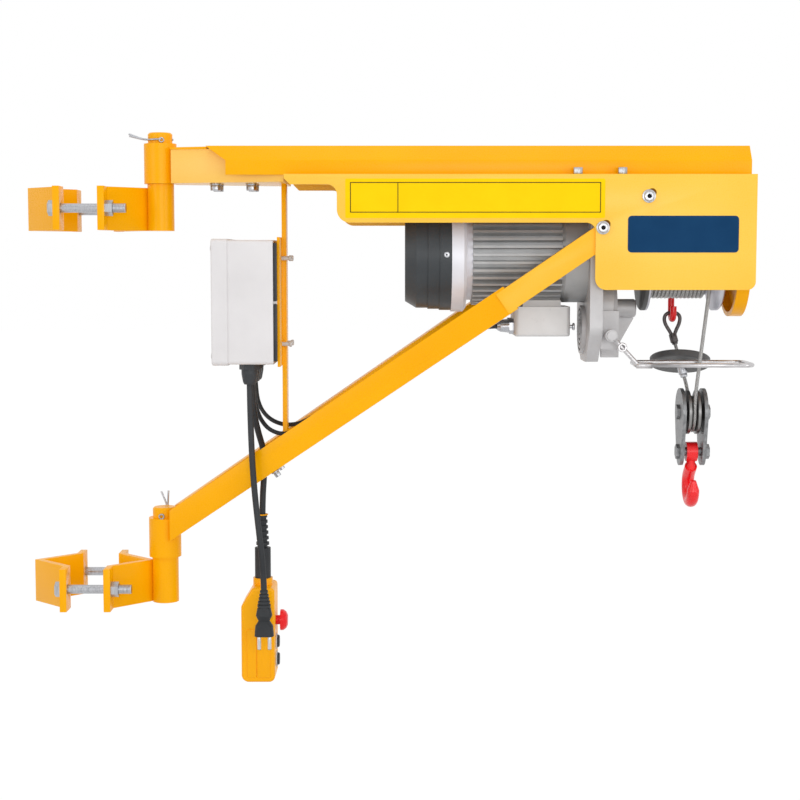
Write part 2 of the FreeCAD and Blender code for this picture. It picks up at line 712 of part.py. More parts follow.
def motor_end_bell():
    wide = BELL_DIA / 2
    right = BELL_LEFT + BELL_LENGTH
    return turned_x([(BELL_LEFT, 0), (BELL_LEFT, wide), (right - 4, wide), (right, wide - 5),
                     (right, MOTOR_NECK_DIA / 2), (FIN_LEFT, MOTOR_NECK_DIA / 2), (FIN_LEFT, 0)], 0, MOTOR_Z)


def motor_body():
    """The cast stator frame: straight cooling fins all round and a smooth front end."""
    outer = FIN_DIA / 2
    root = outer - FIN_HEIGHT
    pitch = 2 * math.pi / FIN_COUNT
    points = []
    for fin in range(FIN_COUNT):
        for radius, share in ((root, -0.5), (root, -FIN_FILL / 2), (outer, -FIN_FILL / 2.6),
                              (outer, FIN_FILL / 2.6), (root, FIN_FILL / 2)):
            turn = pitch * (fin + share)
            points.append(vec(FIN_LEFT, radius * math.sin(turn), MOTOR_Z + radius * math.cos(turn)))
    fins = prism(points, X_AXIS * FIN_LENGTH)
    front = turned_x([(FRONT_LEFT, 0), (FRONT_LEFT, FRONT_DIA / 2 - 3), (FRONT_LEFT + 5, FRONT_DIA / 2),
                      (FLANGE_LEFT, FRONT_DIA / 2), (FLANGE_LEFT, 0)], 0, MOTOR_Z)
    return join(fins, front)


def terminal_box():
    """The connection box under the motor, on a saddle that fits the fins' tips."""
    right = TERMINAL_LEFT + TERMINAL_LENGTH
    wide = TERMINAL_HALF_WIDTH
    shell = block(TERMINAL_LEFT, right, -wide, wide, TERMINAL_BOTTOM, TERMINAL_TOP)
    upright = [edge for edge in shell.Edges if abs(edge.tangentAt(edge.FirstParameter).z) > 0.9]
    shell = shell.makeFillet(TERMINAL_CORNER, upright)
    low = [edge for edge in shell.Edges if abs(edge.BoundBox.ZMax - TERMINAL_BOTTOM) < 0.01]
    shell = shell.makeFillet(TERMINAL_EDGE, low)
    inset = TERMINAL_NECK_INSET
    neck = block(TERMINAL_LEFT + inset, right - inset, -wide + inset, wide - inset, TERMINAL_TOP, MOTOR_Z)
    barrel = rod(vec(FIN_LEFT - 1, 0, MOTOR_Z), X_AXIS, FIN_DIA, FIN_LENGTH + 2)
    return join(shell, neck.cut(barrel))


def terminal_glands():
    glands = []
    for side in (-TERMINAL_GLAND_SIDE, TERMINAL_GLAND_SIDE):
        seat = vec(TERMINAL_LEFT, side, TERMINAL_GLAND_Z)
        collar = hex_prism(seat, -X_AXIS, TERMINAL_GLAND_DIA, TERMINAL_GLAND_COLLAR)
        left = TERMINAL_LEFT - TERMINAL_GLAND_LENGTH
        wide = TERMINAL_GLAND_DIA / 2
        face = TERMINAL_LEFT - TERMINAL_GLAND_COLLAR
        nut = turned_x([(face, 0), (face, 0.95 * wide), (left + wide / 2, 0.83 * wide),
                        (left, 0.56 * wide), (left, 0)], side, TERMINAL_GLAND_Z)
        glands.append(join(collar, nut))
    return Part.makeCompound(glands)


# Gearbox

def gear_flange():
    """The broad gearbox flange with its ringed round cover, facing the motor."""
    wide = FLANGE_HALF_WIDTH
    corner = FLANGE_CORNER
    outline = [(-wide, FLANGE_TOP, corner), (wide, FLANGE_TOP, corner),
               (wide, FLANGE_SHOULDER, FLANGE_SHOULDER_RADIUS), (FLANGE_FOOT, FLANGE_BOTTOM, corner),
               (-FLANGE_FOOT, FLANGE_BOTTOM, corner), (-wide, FLANGE_SHOULDER, FLANGE_SHOULDER_RADIUS)]
    plate = rounded_face(outline, lambda y, z: vec(FLANGE_LEFT, y, z)).extrude(X_AXIS * FLANGE_THICK)
    radius = COVER_DIA / 2
    face = FLANGE_LEFT - COVER_THICK
    floor = face + COVER_GROOVE
    profile = [(FLANGE_LEFT, 0), (FLANGE_LEFT, radius), (face, radius)]
    while radius > 3 * COVER_RING:
        radius -= COVER_RING
        profile += [(face, radius), (floor, radius)]
        radius -= COVER_RING
        profile += [(floor, radius), (face, radius)]
    profile.append((face, 0))
    return join(plate, turned_x(profile, 0, COVER_Z))


def gear_case():
    """The gear case on the flange's drum side, with a boss, a gusset and the lever's pivot pin."""
    right = CASE_LEFT + CASE_LENGTH
    case = turned_x([(CASE_LEFT, 0), (CASE_LEFT, CASE_DIA / 2), (right - 6, CASE_DIA / 2),
                     (right, CASE_DIA / 2 - 6), (right, BOSS_DIA / 2),
                     (right + BOSS_LENGTH - 2, BOSS_DIA / 2), (right + BOSS_LENGTH, BOSS_DIA / 2 - 2), (right + BOSS_LENGTH, 0)], 0, CASE_Z)
    hub = rod(vec(CASE_LEFT, 0, DRUM_Z), X_AXIS, 2.6 * SHAFT_DIA, CASE_LENGTH)
    switch = block(CASE_LEFT, CASE_LEFT + CASE_LENGTH, SWITCH_SIDE, -CASE_DIA / 4,
                   LEVER_Z - 1.2 * LEVER_HUB_DIA, LEVER_Z + 2 * LEVER_HUB_DIA)
    end = LEVER_NEAR_SIDE - LEVER_HUB_LENGTH / 2 - SEAT_GAP
    pin = rod(vec(LEVER_X, SWITCH_SIDE, LEVER_Z), -Y_AXIS, LEVER_PIN_DIA, SWITCH_SIDE - end)
    cap = rod(vec(LEVER_X, end, LEVER_Z), -Y_AXIS, LEVER_PIN_DIA + 4, 3)
    spots = [(0, 0.14), (0.29, -0.14), (0.09, -0.5), (0.09, -0.68), (-0.15, -0.68), (-0.15, 0.14)]
    corners = [vec(right + CASE_DIA * x, GUSSET_SIDE, CASE_Z + CASE_DIA * z) for x, z in spots]
    gusset = prism(corners, -Y_AXIS * GUSSET_THICK)
    return join(case, hub, switch, pin, cap, gusset)


def hoist_bracket():
    """The cast cross bracket that hangs the gearbox between the two panels."""
    right = CASE_LEFT + BRACKET_LENGTH
    top = SHELF_TOP - SHEET
    body = block(CASE_LEFT, right, -PANEL_INNER, PANEL_INNER, BRACKET_BOTTOM, top)
    reach = PANEL_INNER - 2 * SHEET
    inset = BRACKET_WALL
    pocket = block(CASE_LEFT + inset, right - inset, -reach, reach, BRACKET_BOTTOM + inset, SHELF_TOP)
    web = block(CASE_LEFT, right, -inset / 2, inset / 2, BRACKET_BOTTOM, top)
    return join(body.cut(pocket), web)


# Drum, rope and hook block

def drum():
    """The rope drum: a core between two flanges, on a shaft from the gear case to the end plate."""
    core = DRUM_CORE_DIA / 2
    rim = DRUM_FLANGE_DIA / 2
    shaft = SHAFT_DIA / 2
    right = CORE_RIGHT + DRUM_FLANGE
    return turned_x([
        (CASE_LEFT + CASE_LENGTH, 0), (CASE_LEFT + CASE_LENGTH, shaft), (DRUM_LEFT, shaft),
        (DRUM_LEFT, rim - 2), (DRUM_LEFT + 2, rim), (CORE_LEFT, rim), (CORE_LEFT, core), (CORE_RIGHT, core), (CORE_RIGHT, rim),
        (right - 2, rim), (right, rim - 2), (right, shaft), (END_PLATE_RIGHT, shaft), (END_PLATE_RIGHT, 0),
    ], 0, DRUM_Z)


def drum_rope():
    """The wound rope as one ribbed sleeve, a ridge to each turn."""
    low = DRUM_CORE_DIA / 2
    high = DRUM_ROPE_RADIUS + ROPE_RADIUS
    valley = DRUM_ROPE_RADIUS + ROPE_RADIUS / 3
    profile = [(CORE_LEFT, low)]
    for turn in range(ROPE_TURNS):
        left = CORE_LEFT + turn * ROPE_PITCH
        profile += [(left, valley), (left + ROPE_PITCH / 3, high), (left + 2 * ROPE_PITCH / 3, high)]
    right = CORE_LEFT + ROPE_TURNS * ROPE_PITCH
    profile += [(right, valley), (right, low)]
    return turned_x(profile, 0, DRUM_Z)


def drum_end_plate():
    """The painted end plate: a round dish round the drum's end, with shoulders up to both panels."""
    disc = rod(vec(END_PLATE_LEFT, 0, DRUM_Z), X_AXIS, END_PLATE_DIA, END_PLATE_DEPTH)
    back = END_PLATE_RIGHT - 2 * SHEET
    dish_start = vec(END_PLATE_LEFT - 1, 0, DRUM_Z)
    dish = rod(dish_start, X_AXIS, END_PLATE_DIA - 4 * SHEET, back - END_PLATE_LEFT + 1)
    upper = block(back, END_PLATE_RIGHT, -PANEL_INNER, PANEL_INNER, DRUM_Z, SHELF_TOP - SHEET)
    bearing = rod(vec(back - 8, 0, DRUM_Z), X_AXIS, 2 * SHAFT_DIA, END_PLATE_RIGHT - back + 8)
    plate = join(disc.cut(dish), upper, bearing)
    for side in (-TIE_ROD_SIDE, TIE_ROD_SIDE):
        boss = rod(vec(END_PLATE_LEFT, side, DRUM_Z), X_AXIS, 2 * TIE_ROD_DIA, END_PLATE_DEPTH)
        plate = join(plate, boss)
    shaft = rod(vec(END_PLATE_LEFT - 1, 0, DRUM_Z), X_AXIS, SHAFT_DIA, END_PLATE_DEPTH + 2)
    return plate.cut(shaft)


def tie_rods():
    """Two rods beside the drum that hold the end plate to the gearbox."""
    length = END_PLATE_LEFT - CASE_LEFT
    rods = [rod(vec(CASE_LEFT, side, DRUM_Z), X_AXIS, TIE_ROD_DIA, length)
            for side in (-TIE_ROD_SIDE, TIE_ROD_SIDE)]
    return Part.makeCompound(rods)


def anchor_hook():
    """The red hook on the far tie rod that holds the rope's dead end."""
    eye_centre = vec(ANCHOR_X, TIE_ROD_SIDE, DRUM_Z)
    thick = ANCHOR_WIRE_DIA + 3
    eye = rod(eye_centre - X_AXIS * (thick / 2), X_AXIS, ANCHOR_EYE_DIA, thick)
    far = TIE_ROD_SIDE - ANCHOR_LEAN + ANCHOR_BEND
    near = far - 2 * ANCHOR_BEND
    low = ANCHOR_BEND_Z - ANCHOR_BEND
    points = [vec(ANCHOR_X, TIE_ROD_SIDE, DRUM_Z - ANCHOR_EYE_DIA / 3),
              vec(ANCHOR_X, far, ANCHOR_BEND_Z + ANCHOR_SHANK), vec(ANCHOR_X, far, low),
              vec(ANCHOR_X, near, low), vec(ANCHOR_X, near, ANCHOR_BEND_Z + ANCHOR_TIP)]
    bends = cord_radii(points[:3])
    body = tube(points, ANCHOR_WIRE_DIA, bends + [ANCHOR_BEND - 0.01, ANCHOR_BEND - 0.01])[0]
    bore = rod(eye_centre - X_AXIS * thick, X_AXIS, TIE_ROD_DIA, 2 * thick)
    return join(eye, body).cut(bore)


THIMBLE_Y = TIE_ROD_SIDE - ANCHOR_LEAN
THIMBLE_TOP = ANCHOR_BEND_Z - ANCHOR_BEND + ANCHOR_WIRE_DIA / 2 + THIMBLE_WIRE_DIA / 2 + SEAT_GAP
THIMBLE_Z = THIMBLE_TOP - THIMBLE_RADIUS
DEAD_TOP = vec(ANCHOR_X, THIMBLE_Y, THIMBLE_Z - THIMBLE_RADIUS)
DEAD_LOW = vec(BLOCK_X, BLOCK_Y + GROOVE_RADIUS, SHEAVE_Z + ROPE_STRAIGHT)
DEAD_LINE = (DEAD_LOW - DEAD_TOP).normalize()


def dead_point(z):
    """The point of the dead fall at a height."""
    return DEAD_TOP + DEAD_LINE * ((z - DEAD_TOP.z) / DEAD_LINE.z)


def weight_blank():
    blank = rod(vec(0, 0, -WEIGHT_THICK / 2), Z_AXIS, WEIGHT_DIA, WEIGHT_THICK)
    blank = blank.makeChamfer(1.2, blank.Edges[:1] + blank.Edges[2:])
    blank.rotate(vec(0, 0, 0), X_AXIS, -WEIGHT_TILT)
    blank.rotate(vec(0, 0, 0), Y_AXIS, WEIGHT_ROLL)
    blank.translate(dead_point(WEIGHT_Z))
    return blank


def stop_weight():
    """The round weight that hangs tilted on the dead fall, on the ferrule below it."""
    through = rod(dead_point(WEIGHT_Z) - DEAD_LINE * WEIGHT_DIA, DEAD_LINE, WEIGHT_HOLE, 2 * WEIGHT_DIA)
    return weight_blank().cut(through)


def rope_fittings():
    """Thimble and crimp at the dead end, and the ferrule that carries the weight."""
    ring = Part.makeTorus(THIMBLE_RADIUS, THIMBLE_WIRE_DIA / 2, vec(ANCHOR_X, THIMBLE_Y, THIMBLE_Z), Y_AXIS)
    crimp = rod(DEAD_TOP, DEAD_LINE, CRIMP_DIA, CRIMP_LENGTH)
    top = join(ring, crimp)
    ferrule = rod(dead_point(WEIGHT_Z), DEAD_LINE, CRIMP_DIA + 4, FERRULE_LENGTH + WEIGHT_THICK)
    ferrule = ferrule.cut(weight_blank())
    ferrule = min(ferrule.Solids, key=lambda solid: solid.CenterOfMass.z)
    through = rod(dead_point(WEIGHT_Z), DEAD_LINE, ROPE_DIA, WEIGHT_DIA)
    return Part.makeCompound([top, ferrule.cut(through)])


def hoist_rope():
    """The rope from the drum's last turn round the sheave and up to the dead end's crimp."""
    low = vec(BLOCK_X, BLOCK_Y - GROOVE_RADIUS, SHEAVE_Z + ROPE_STRAIGHT)
    drop = DRUM_Z - low.z
    reach = math.hypot(low.y, drop)
    lean = math.asin(DRUM_ROPE_RADIUS / reach) - math.atan2(-low.y, drop)
    corner_side = -DRUM_ROPE_RADIUS * (1 + math.sin(lean)) / math.cos(lean)
    top = DRUM_Z + DRUM_ROPE_RADIUS
    base = SHEAVE_Z - GROOVE_RADIUS
    points = [
        vec(LIVE_ROPE_X, ROPE_DIA, top),
        vec(LIVE_ROPE_X, corner_side, top),
        low,
        vec(BLOCK_X, BLOCK_Y - GROOVE_RADIUS, base),
        vec(BLOCK_X, BLOCK_Y + GROOVE_RADIUS, base),
        DEAD_LOW,
        DEAD_TOP + DEAD_LINE * CRIMP_LENGTH,
    ]
    kinks = cord_radii(points)
    shortest = 0.9 * (ROPE_STRAIGHT - ROPE_DIA)
    soft = []
    for place in (2, 5):
        turn = (points[place] - points[place - 1]).getAngle(points[place + 1] - points[place])
        soft.append(shortest / math.tan(turn / 2))
    bends = [DRUM_ROPE_RADIUS, min(soft[0], kinks[1]), GROOVE_RADIUS - 0.01, GROOVE_RADIUS - 0.01,
             min(soft[1], kinks[4])]
    solid, length, ratio = tube(points, ROPE_DIA, bends)
    print("hoist rope length %.0f" % length, "volume ratio %.4f" % ratio)
    return solid


def sheave():
    """The grooved pulley, turning on the block's axle."""
    bore = AXLE_DIA / 2 + JOURNAL_CLEARANCE
    rim = SHEAVE_DIA / 2
    half = SHEAVE_WIDTH / 2
    groove = ROPE_RADIUS + GROOVE_CLEARANCE
    floor = GROOVE_RADIUS - groove
    hub = CHEEK_GAP / 2 - SEAT_GAP
    left = BLOCK_X
    return turned_x([
        (left - hub, bore), (left - hub, bore + 5), (left - half, bore + 7), (left - half, rim - 1),
        (left - half + 1, rim), (left - groove - 1.5, rim), (left - groove, GROOVE_RADIUS),
        (left - 0.7 * groove, GROOVE_RADIUS - 0.72 * groove), (left, floor),
        (left + 0.7 * groove, GROOVE_RADIUS - 0.72 * groove),
        (left + groove, GROOVE_RADIUS), (left + groove + 1.5, rim), (left + half - 1, rim),
        (left + half, rim - 1), (left + half, bore + 7), (left + hub, bore + 5), (left + hub, bore),
    ], BLOCK_Y, SHEAVE_Z)


def hook_block():
    """Two cheek plates on the sheave's axle and the hook's pin, with bolt heads and nuts outside."""
    low = (BLOCK_Y, HOOK_PIN_Z, CHEEK_FOOT_RADIUS)
    high = (BLOCK_Y, SHEAVE_Z, CHEEK_TOP_RADIUS)
    inner = CHEEK_GAP / 2
    outer = inner + CHEEK_PLATE
    pieces = [two_circle_plate(low, high, BLOCK_X - outer, CHEEK_PLATE),
              two_circle_plate(low, high, BLOCK_X + inner, CHEEK_PLATE)]
    for z, diameter in ((SHEAVE_Z, AXLE_DIA), (HOOK_PIN_Z, HOOK_PIN_DIA)):
        pieces.append(rod(vec(BLOCK_X - outer, BLOCK_Y, z), X_AXIS, diameter, 2 * outer))
        pieces.append(hex_prism(vec(BLOCK_X - outer, BLOCK_Y, z), -X_AXIS, CLAMP_HEX, 4))
        pieces.append(hex_prism(vec(BLOCK_X + outer, BLOCK_Y, z), X_AXIS, CLAMP_HEX, 7))
    return join(*pieces)


def load_hook():
    """The forged hook: an eye on the block's lower pin, a neck and an open bowl with a tapered tip."""
    eye_centre = vec(BLOCK_X, BLOCK_Y, HOOK_PIN_Z)
    eye = rod(eye_centre - X_AXIS * (HOOK_WIDTH / 2), X_AXIS, HOOK_EYE_DIA, HOOK_WIDTH)
    bowl = vec(BLOCK_X, BLOCK_Y, HOOK_BOWL_Z)

    def on_bowl(degrees):
        turn = math.radians(degrees)
        return bowl + vec(0, math.cos(turn), math.sin(turn)) * HOOK_BOWL_RADIUS

    first = HOOK_NECK_ANGLE
    last = HOOK_TIP_ANGLE
    start = on_bowl(first)
    up = vec(0, -math.sin(math.radians(first)), math.cos(math.radians(first)))
    neck_top = start + up * (0.85 * HOOK_BOWL_RADIUS)
    path = Part.Wire([Part.LineSegment(neck_top, start).toShape(),
                      Part.Arc(start, on_bowl((first + last) / 2), on_bowl(last)).toShape()])
    section = Part.Wire(Part.Circle(neck_top, -up, HOOK_BODY_DIA / 2).toShape())
    body = path.makePipeShell([section], True, False)
    neck = rod(vec(BLOCK_X, BLOCK_Y, neck_top.z - HOOK_BODY_DIA / 4), Z_AXIS, HOOK_NECK_DIA,
               HOOK_PIN_Z - neck_top.z + HOOK_BODY_DIA / 4)
    turn = math.radians(last)
    ahead = vec(0, math.sin(turn), -math.cos(turn))
    tip = Part.makeCone(HOOK_BODY_DIA / 2, HOOK_TIP_DIA / 2, HOOK_TIP_LENGTH, on_bowl(last), ahead)
    bore = rod(eye_centre - X_AXIS * HOOK_WIDTH, X_AXIS, HOOK_PIN_DIA + 2 * JOURNAL_CLEARANCE, 2 * HOOK_WIDTH)
    return join(eye, neck, body, tip).cut(bore)


def limit_lever():
    """The bent rod of the hoist limit: a hub, an arm and a level loop round the live fall."""
    start = vec(LEVER_X, LEVER_NEAR_SIDE, LEVER_Z)
    level = LEVER_LOOP_Z
    points = [start, vec(LEVER_BEND_X, LEVER_NEAR_SIDE, level), vec(LEVER_RIGHT, LEVER_NEAR_SIDE, level),
              vec(LEVER_RIGHT, LEVER_FAR_SIDE, level), vec(LEVER_BEND_X, LEVER_FAR_SIDE, level)]
    points.append(vec(LEVER_BEND_X, LEVER_NEAR_SIDE + 2 * LEVER_ROD_DIA, level))
    body = tube(points, LEVER_ROD_DIA, [LEVER_CORNER] * 4)[0]
    thick = LEVER_ROD_DIA + 2
    bar_start = vec(LEVER_BEND_X, LEVER_NEAR_SIDE + LEVER_ROD_DIA / 2, level)
    bar = rod(bar_start, Y_AXIS, thick, 4 * LEVER_ROD_DIA)
    collar_start = points[1] - X_AXIS * (LEVER_ROD_DIA / 2)
    collar = rod_between(collar_start, points[1] + X_AXIS * (3 * LEVER_ROD_DIA), thick)
    half = LEVER_HUB_LENGTH / 2
    hub = rod(start - Y_AXIS * half, Y_AXIS, LEVER_HUB_DIA, LEVER_HUB_LENGTH)
    bore = rod(start - Y_AXIS * 2 * half, Y_AXIS, LEVER_PIN_DIA + 2 * JOURNAL_CLEARANCE, 4 * half)
    return join(body, collar, bar, hub).cut(bore)


# Pendant control

def pendant_body():
    """The hand-held control: a rounded case with a sloped shoulder, a neck and three button wells."""
    left = PENDANT_LEFT
    outline = [(left + PENDANT_SHOULDER_IN, PENDANT_TOP, 6), (PENDANT_RIGHT, PENDANT_TOP, 6),
               (PENDANT_RIGHT, PENDANT_BOTTOM, 8), (left, PENDANT_BOTTOM, 10),
               (left, PENDANT_TOP - PENDANT_SHOULDER_DROP, 10)]
    wide = PENDANT_HALF_WIDTH
    case = rounded_face(outline, lambda x, z: vec(x, -wide, z)).extrude(Y_AXIS * (2 * wide))
    rims = [edge for edge in case.Edges if edge.BoundBox.YLength < 0.001]
    case = case.makeFillet(PENDANT_ROUND, rims)
    neck = rod(vec(PENDANT_X, 0, PENDANT_TOP - 1), Z_AXIS, PENDANT_NECK_DIA, PENDANT_NECK + 1)
    nub = rod(vec(left + 16, 0, PENDANT_BOTTOM - 5), Z_AXIS, 9, 6)
    case = join(case, neck, nub)
    wells = [(STOP_Z, STOP_STEM_DIA, STOP_STEM_DEPTH), (UP_BUTTON_Z, BUTTON_DIA, BUTTON_DEPTH),
             (DOWN_BUTTON_Z, BUTTON_DIA, BUTTON_DEPTH)]
    for z, diameter, depth in wells:
        mouth = vec(PENDANT_RIGHT + 1, 0, z)
        case = case.cut(rod(mouth, -X_AXIS, diameter + 2 * PIVOT_CLEARANCE, depth + PRESS_ROOM + 1))
    return case


def pendant_boot():
    """The cord's strain relief: a smooth sleeve on the case's neck and a ridged taper above it."""
    low = PENDANT_TOP + PENDANT_NECK
    shoulder = low + BOOT_SLEEVE_LENGTH
    profile = [(low, 0), (low, BOOT_SLEEVE_DIA / 2), (shoulder, BOOT_SLEEVE_DIA / 2)]
    pitch = BOOT_RIDGED_LENGTH / BOOT_RIDGES
    for ridge in range(BOOT_RIDGES):
        groove = BOOT_GROOVE_DIA / 2 - 0.25 * ridge
        crest = BOOT_RIDGE_DIA / 2 - 0.5 * ridge
        base = shoulder + ridge * pitch
        profile += [(base, groove), (base + pitch / 2, groove), (base + pitch / 2, crest), (base + pitch, crest)]
    profile.append((shoulder + BOOT_RIDGED_LENGTH, 0))
    return turned_z(profile, PENDANT_X, 0)


def stop_button():
    """The mushroom stop button on its stem."""
    inner = PENDANT_RIGHT - STOP_STEM_DEPTH
    back = PENDANT_RIGHT + STOP_STAND
    stem = STOP_STEM_DIA / 2
    head = STOP_HEAD_DIA / 2
    front = back + STOP_HEAD_LENGTH
    return turned_x([(inner, 0), (inner, stem), (back, stem), (back, head), (back + 4, head),
                     (front - 2, head - 3), (front, head - 7), (front, 0)], 0, STOP_Z)


def press_button(z):
    inner = PENDANT_RIGHT - BUTTON_DEPTH
    front = PENDANT_RIGHT + BUTTON_STAND
    wide = BUTTON_DIA / 2
    return turned_x([(inner, 0), (inner, wide), (front - 1, wide), (front, wide - 1), (front, 0)], 0, z)


# Cords, plug and cables

GLAND_MOUTH = BOX_BOTTOM - GLAND_LENGTH

POWER_ROUTE = [
    vec(GLAND_X, GLAND_SIDES[0], GLAND_MOUTH), vec(123.3, -45.6, -262), vec(124.5, -49, -300),
    vec(126.5, -55, -340), vec(130, -60.5, -382), vec(134.5, -63, -424), vec(138.5, -63.5, -460),
    vec(141, -62.6, -490), vec(PLUG_X, PLUG_Y, PLUG_TOP),
]
PENDANT_ROUTE = [
    vec(GLAND_X, GLAND_SIDES[1], GLAND_MOUTH), vec(123.8, -14.6, -259), vec(126.6, -12, -284),
    vec(131.2, -7.5, -306), vec(136.4, -2.6, -325), vec(138.6, -0.4, -346), vec(137.2, 0.2, -370),
    vec(PENDANT_X + 0.4, 0.1, -394), vec(PENDANT_X, 0, BOOT_TOP),
]
MOTOR_ROUTE = [
    vec(GLAND_X, GLAND_SIDES[3], GLAND_MOUTH), vec(123.8, 44.4, -251), vec(127, 41, -268),
    vec(135.5, 34.5, -282.5), vec(149, 27, -292.5), vec(168, 21.5, -297.5), vec(192, 17, -293), vec(231, 13, -268), vec(279, 11, -235),
    vec(327, 12.4, -203), vec(372, 15.6, -177), vec(410, 18.6, -163), vec(436, 19.8, -158.4),
    vec(TERMINAL_LEFT - TERMINAL_GLAND_LENGTH, TERMINAL_GLAND_SIDE, TERMINAL_GLAND_Z),
]
SWITCH_ROUTE = [
    vec(GLAND_X, GLAND_SIDES[2], GLAND_MOUTH), vec(123.6, 14.2, -253), vec(127, 9, -273), vec(134.5, 0, -289),
    vec(147, -10.5, -301), vec(166, -19.6, -306), vec(190, -22, -301), vec(230, -22.6, -276),
    vec(278, -25, -243), vec(326, -28.5, -211), vec(371, -29, -183), vec(409, -25, -165.4), vec(436, -20.8, -158.8),
    vec(TERMINAL_LEFT - TERMINAL_GLAND_LENGTH, -TERMINAL_GLAND_SIDE, TERMINAL_GLAND_Z),
]


def power_plug():
    """The moulded plug: a ridged boot, a waisted body and two round pins."""
    boot_low = PLUG_TOP - PLUG_BOOT_LENGTH
    body_low = boot_low - PLUG_BODY_LENGTH
    profile = [(PLUG_TOP, 0)]
    pitch = PLUG_BOOT_LENGTH / PLUG_RIDGES
    for ridge in range(PLUG_RIDGES):
        wide = POWER_CORD_DIA / 2 + 1.2 + 0.9 * ridge
        top = PLUG_TOP - ridge * pitch
        low = top - 0.6 * pitch
        profile += [(top, wide), (low, wide), (low, wide - 1), (top - pitch, wide - 1)]
    profile += [(boot_low - 2, PLUG_BODY_DEPTH / 2 - 1.5), (boot_low - 2, 0)]
    boot = turned_z(profile, PLUG_X, PLUG_Y)
    sections = []
    for rise, share in ((1.0, 0.7), (0.74, 0.84), (0.54, 0.58), (0.36, 0.92), (0.0, 1.0)):
        across = share * PLUG_BODY_WIDTH / 2
        deep = share * PLUG_BODY_DEPTH / 2
        corners = [(PLUG_X - across, PLUG_Y - deep, 0.8 * deep), (PLUG_X + across, PLUG_Y - deep, 0.8 * deep),
                   (PLUG_X + across, PLUG_Y + deep, 0.8 * deep), (PLUG_X - across, PLUG_Y + deep, 0.8 * deep)]
        level = body_low + rise * PLUG_BODY_LENGTH
        sections.append(rounded_face(corners, lambda x, y: vec(x, y, level)).OuterWire)
    body = Part.makeLoft(sections, True, True)
    pieces = [boot, body]
    for side in (-PLUG_PIN_PITCH / 2, PLUG_PIN_PITCH / 2):
        root = vec(PLUG_X + side, PLUG_Y, body_low + 3)
        pieces.append(rod(root, -Z_AXIS, PLUG_PIN_DIA, PLUG_PIN_LENGTH + 3))
    return join(*pieces)


# Hand the pieces over

def export(name, shape):
    moved = shape.translated(vec(PIVOT_FROM_ORIGIN, 0, 0))
    moved.exportStep(os.path.join("parts", name + ".step"))


def main():
    os.makedirs("parts", exist_ok=True)
    lower = -CLAMP_SPACING
    near_panel = side_panel()
    near_strut = strut()
    pieces = {
        "upper_fixed_jaw": fixed_jaw(0),
        "upper_loose_jaw": loose_jaw(0),
        "upper_pivot_pin": pivot_pin(0),
        "lower_fixed_jaw": fixed_jaw(lower),
        "lower_loose_jaw": loose_jaw(lower),
        "lower_pivot_pin": pivot_pin(lower),
        "clamp_bolts": clamp_bolts(),
        "upper_sleeve": sleeve(0),
        "lower_sleeve": sleeve(lower),
        "arm_root": arm_root(),
        "roof_channel": roof_channel(),
        "near_side_panel": near_panel,
        "far_side_panel": mirrored(near_panel),
        "near_strut": near_strut,
        "far_strut": mirrored(near_strut),
        "box_hanger": box_hanger(),
        "control_box": control_box(),
        "control_box_lid": control_box_lid(),
        "box_glands": box_glands(),
        "motor_fan_cover": motor_fan_cover(),
        "motor_end_bell": motor_end_bell(),
        "motor_body": motor_body(),
        "terminal_box": terminal_box(),
        "terminal_glands": terminal_glands(),
        "gear_flange": gear_flange(),
        "gear_case": gear_case(),
        "hoist_bracket": hoist_bracket(),
        "drum": drum(),
        "drum_rope": drum_rope(),
        "drum_end_plate": drum_end_plate(),
        "tie_rods": tie_rods(),
        "anchor_hook": anchor_hook(),
        "rope_fittings": rope_fittings(),
        "stop_weight": stop_weight(),
        "hoist_rope": hoist_rope(),
        "hook_block": hook_block(),
        "sheave": sheave(),
        "load_hook": load_hook(),
        "limit_lever": limit_lever(),
        "pendant_body": pendant_body(),
        "pendant_boot": pendant_boot(),
        "stop_button": stop_button(),
        "up_button": press_button(UP_BUTTON_Z),
        "down_button": press_button(DOWN_BUTTON_Z),
        "power_cord": cord("power cord", POWER_ROUTE, POWER_CORD_DIA),
        "power_plug": power_plug(),
        "pendant_cord": cord("pendant cord", PENDANT_ROUTE, PENDANT_CORD_DIA),
        "motor_cable": cord("motor cable", MOTOR_ROUTE, CABLE_DIA),
        "switch_cable": cord("switch cable", SWITCH_ROUTE, CABLE_DIA),
    }
    for name, shape in pieces.items():
        export(name, shape)
        print(name, "solids", len(shape.Solids), "valid", shape.isValid(), "volume %.0f" % shape.Volume)


main()
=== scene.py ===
import json
import math

import bmesh
import bpy
from mathutils import Matrix, Vector


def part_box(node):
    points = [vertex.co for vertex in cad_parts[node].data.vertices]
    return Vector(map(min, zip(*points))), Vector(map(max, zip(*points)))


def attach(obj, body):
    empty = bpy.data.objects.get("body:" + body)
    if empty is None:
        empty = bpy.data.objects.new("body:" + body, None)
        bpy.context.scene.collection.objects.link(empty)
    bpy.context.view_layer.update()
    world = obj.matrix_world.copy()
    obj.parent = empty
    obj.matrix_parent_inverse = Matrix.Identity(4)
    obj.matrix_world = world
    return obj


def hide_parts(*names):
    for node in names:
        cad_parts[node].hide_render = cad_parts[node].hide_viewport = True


# Column-mounted hoist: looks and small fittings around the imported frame.
# Places and sizes are in millimetres from the pivot axis, as in the part's own drawing.

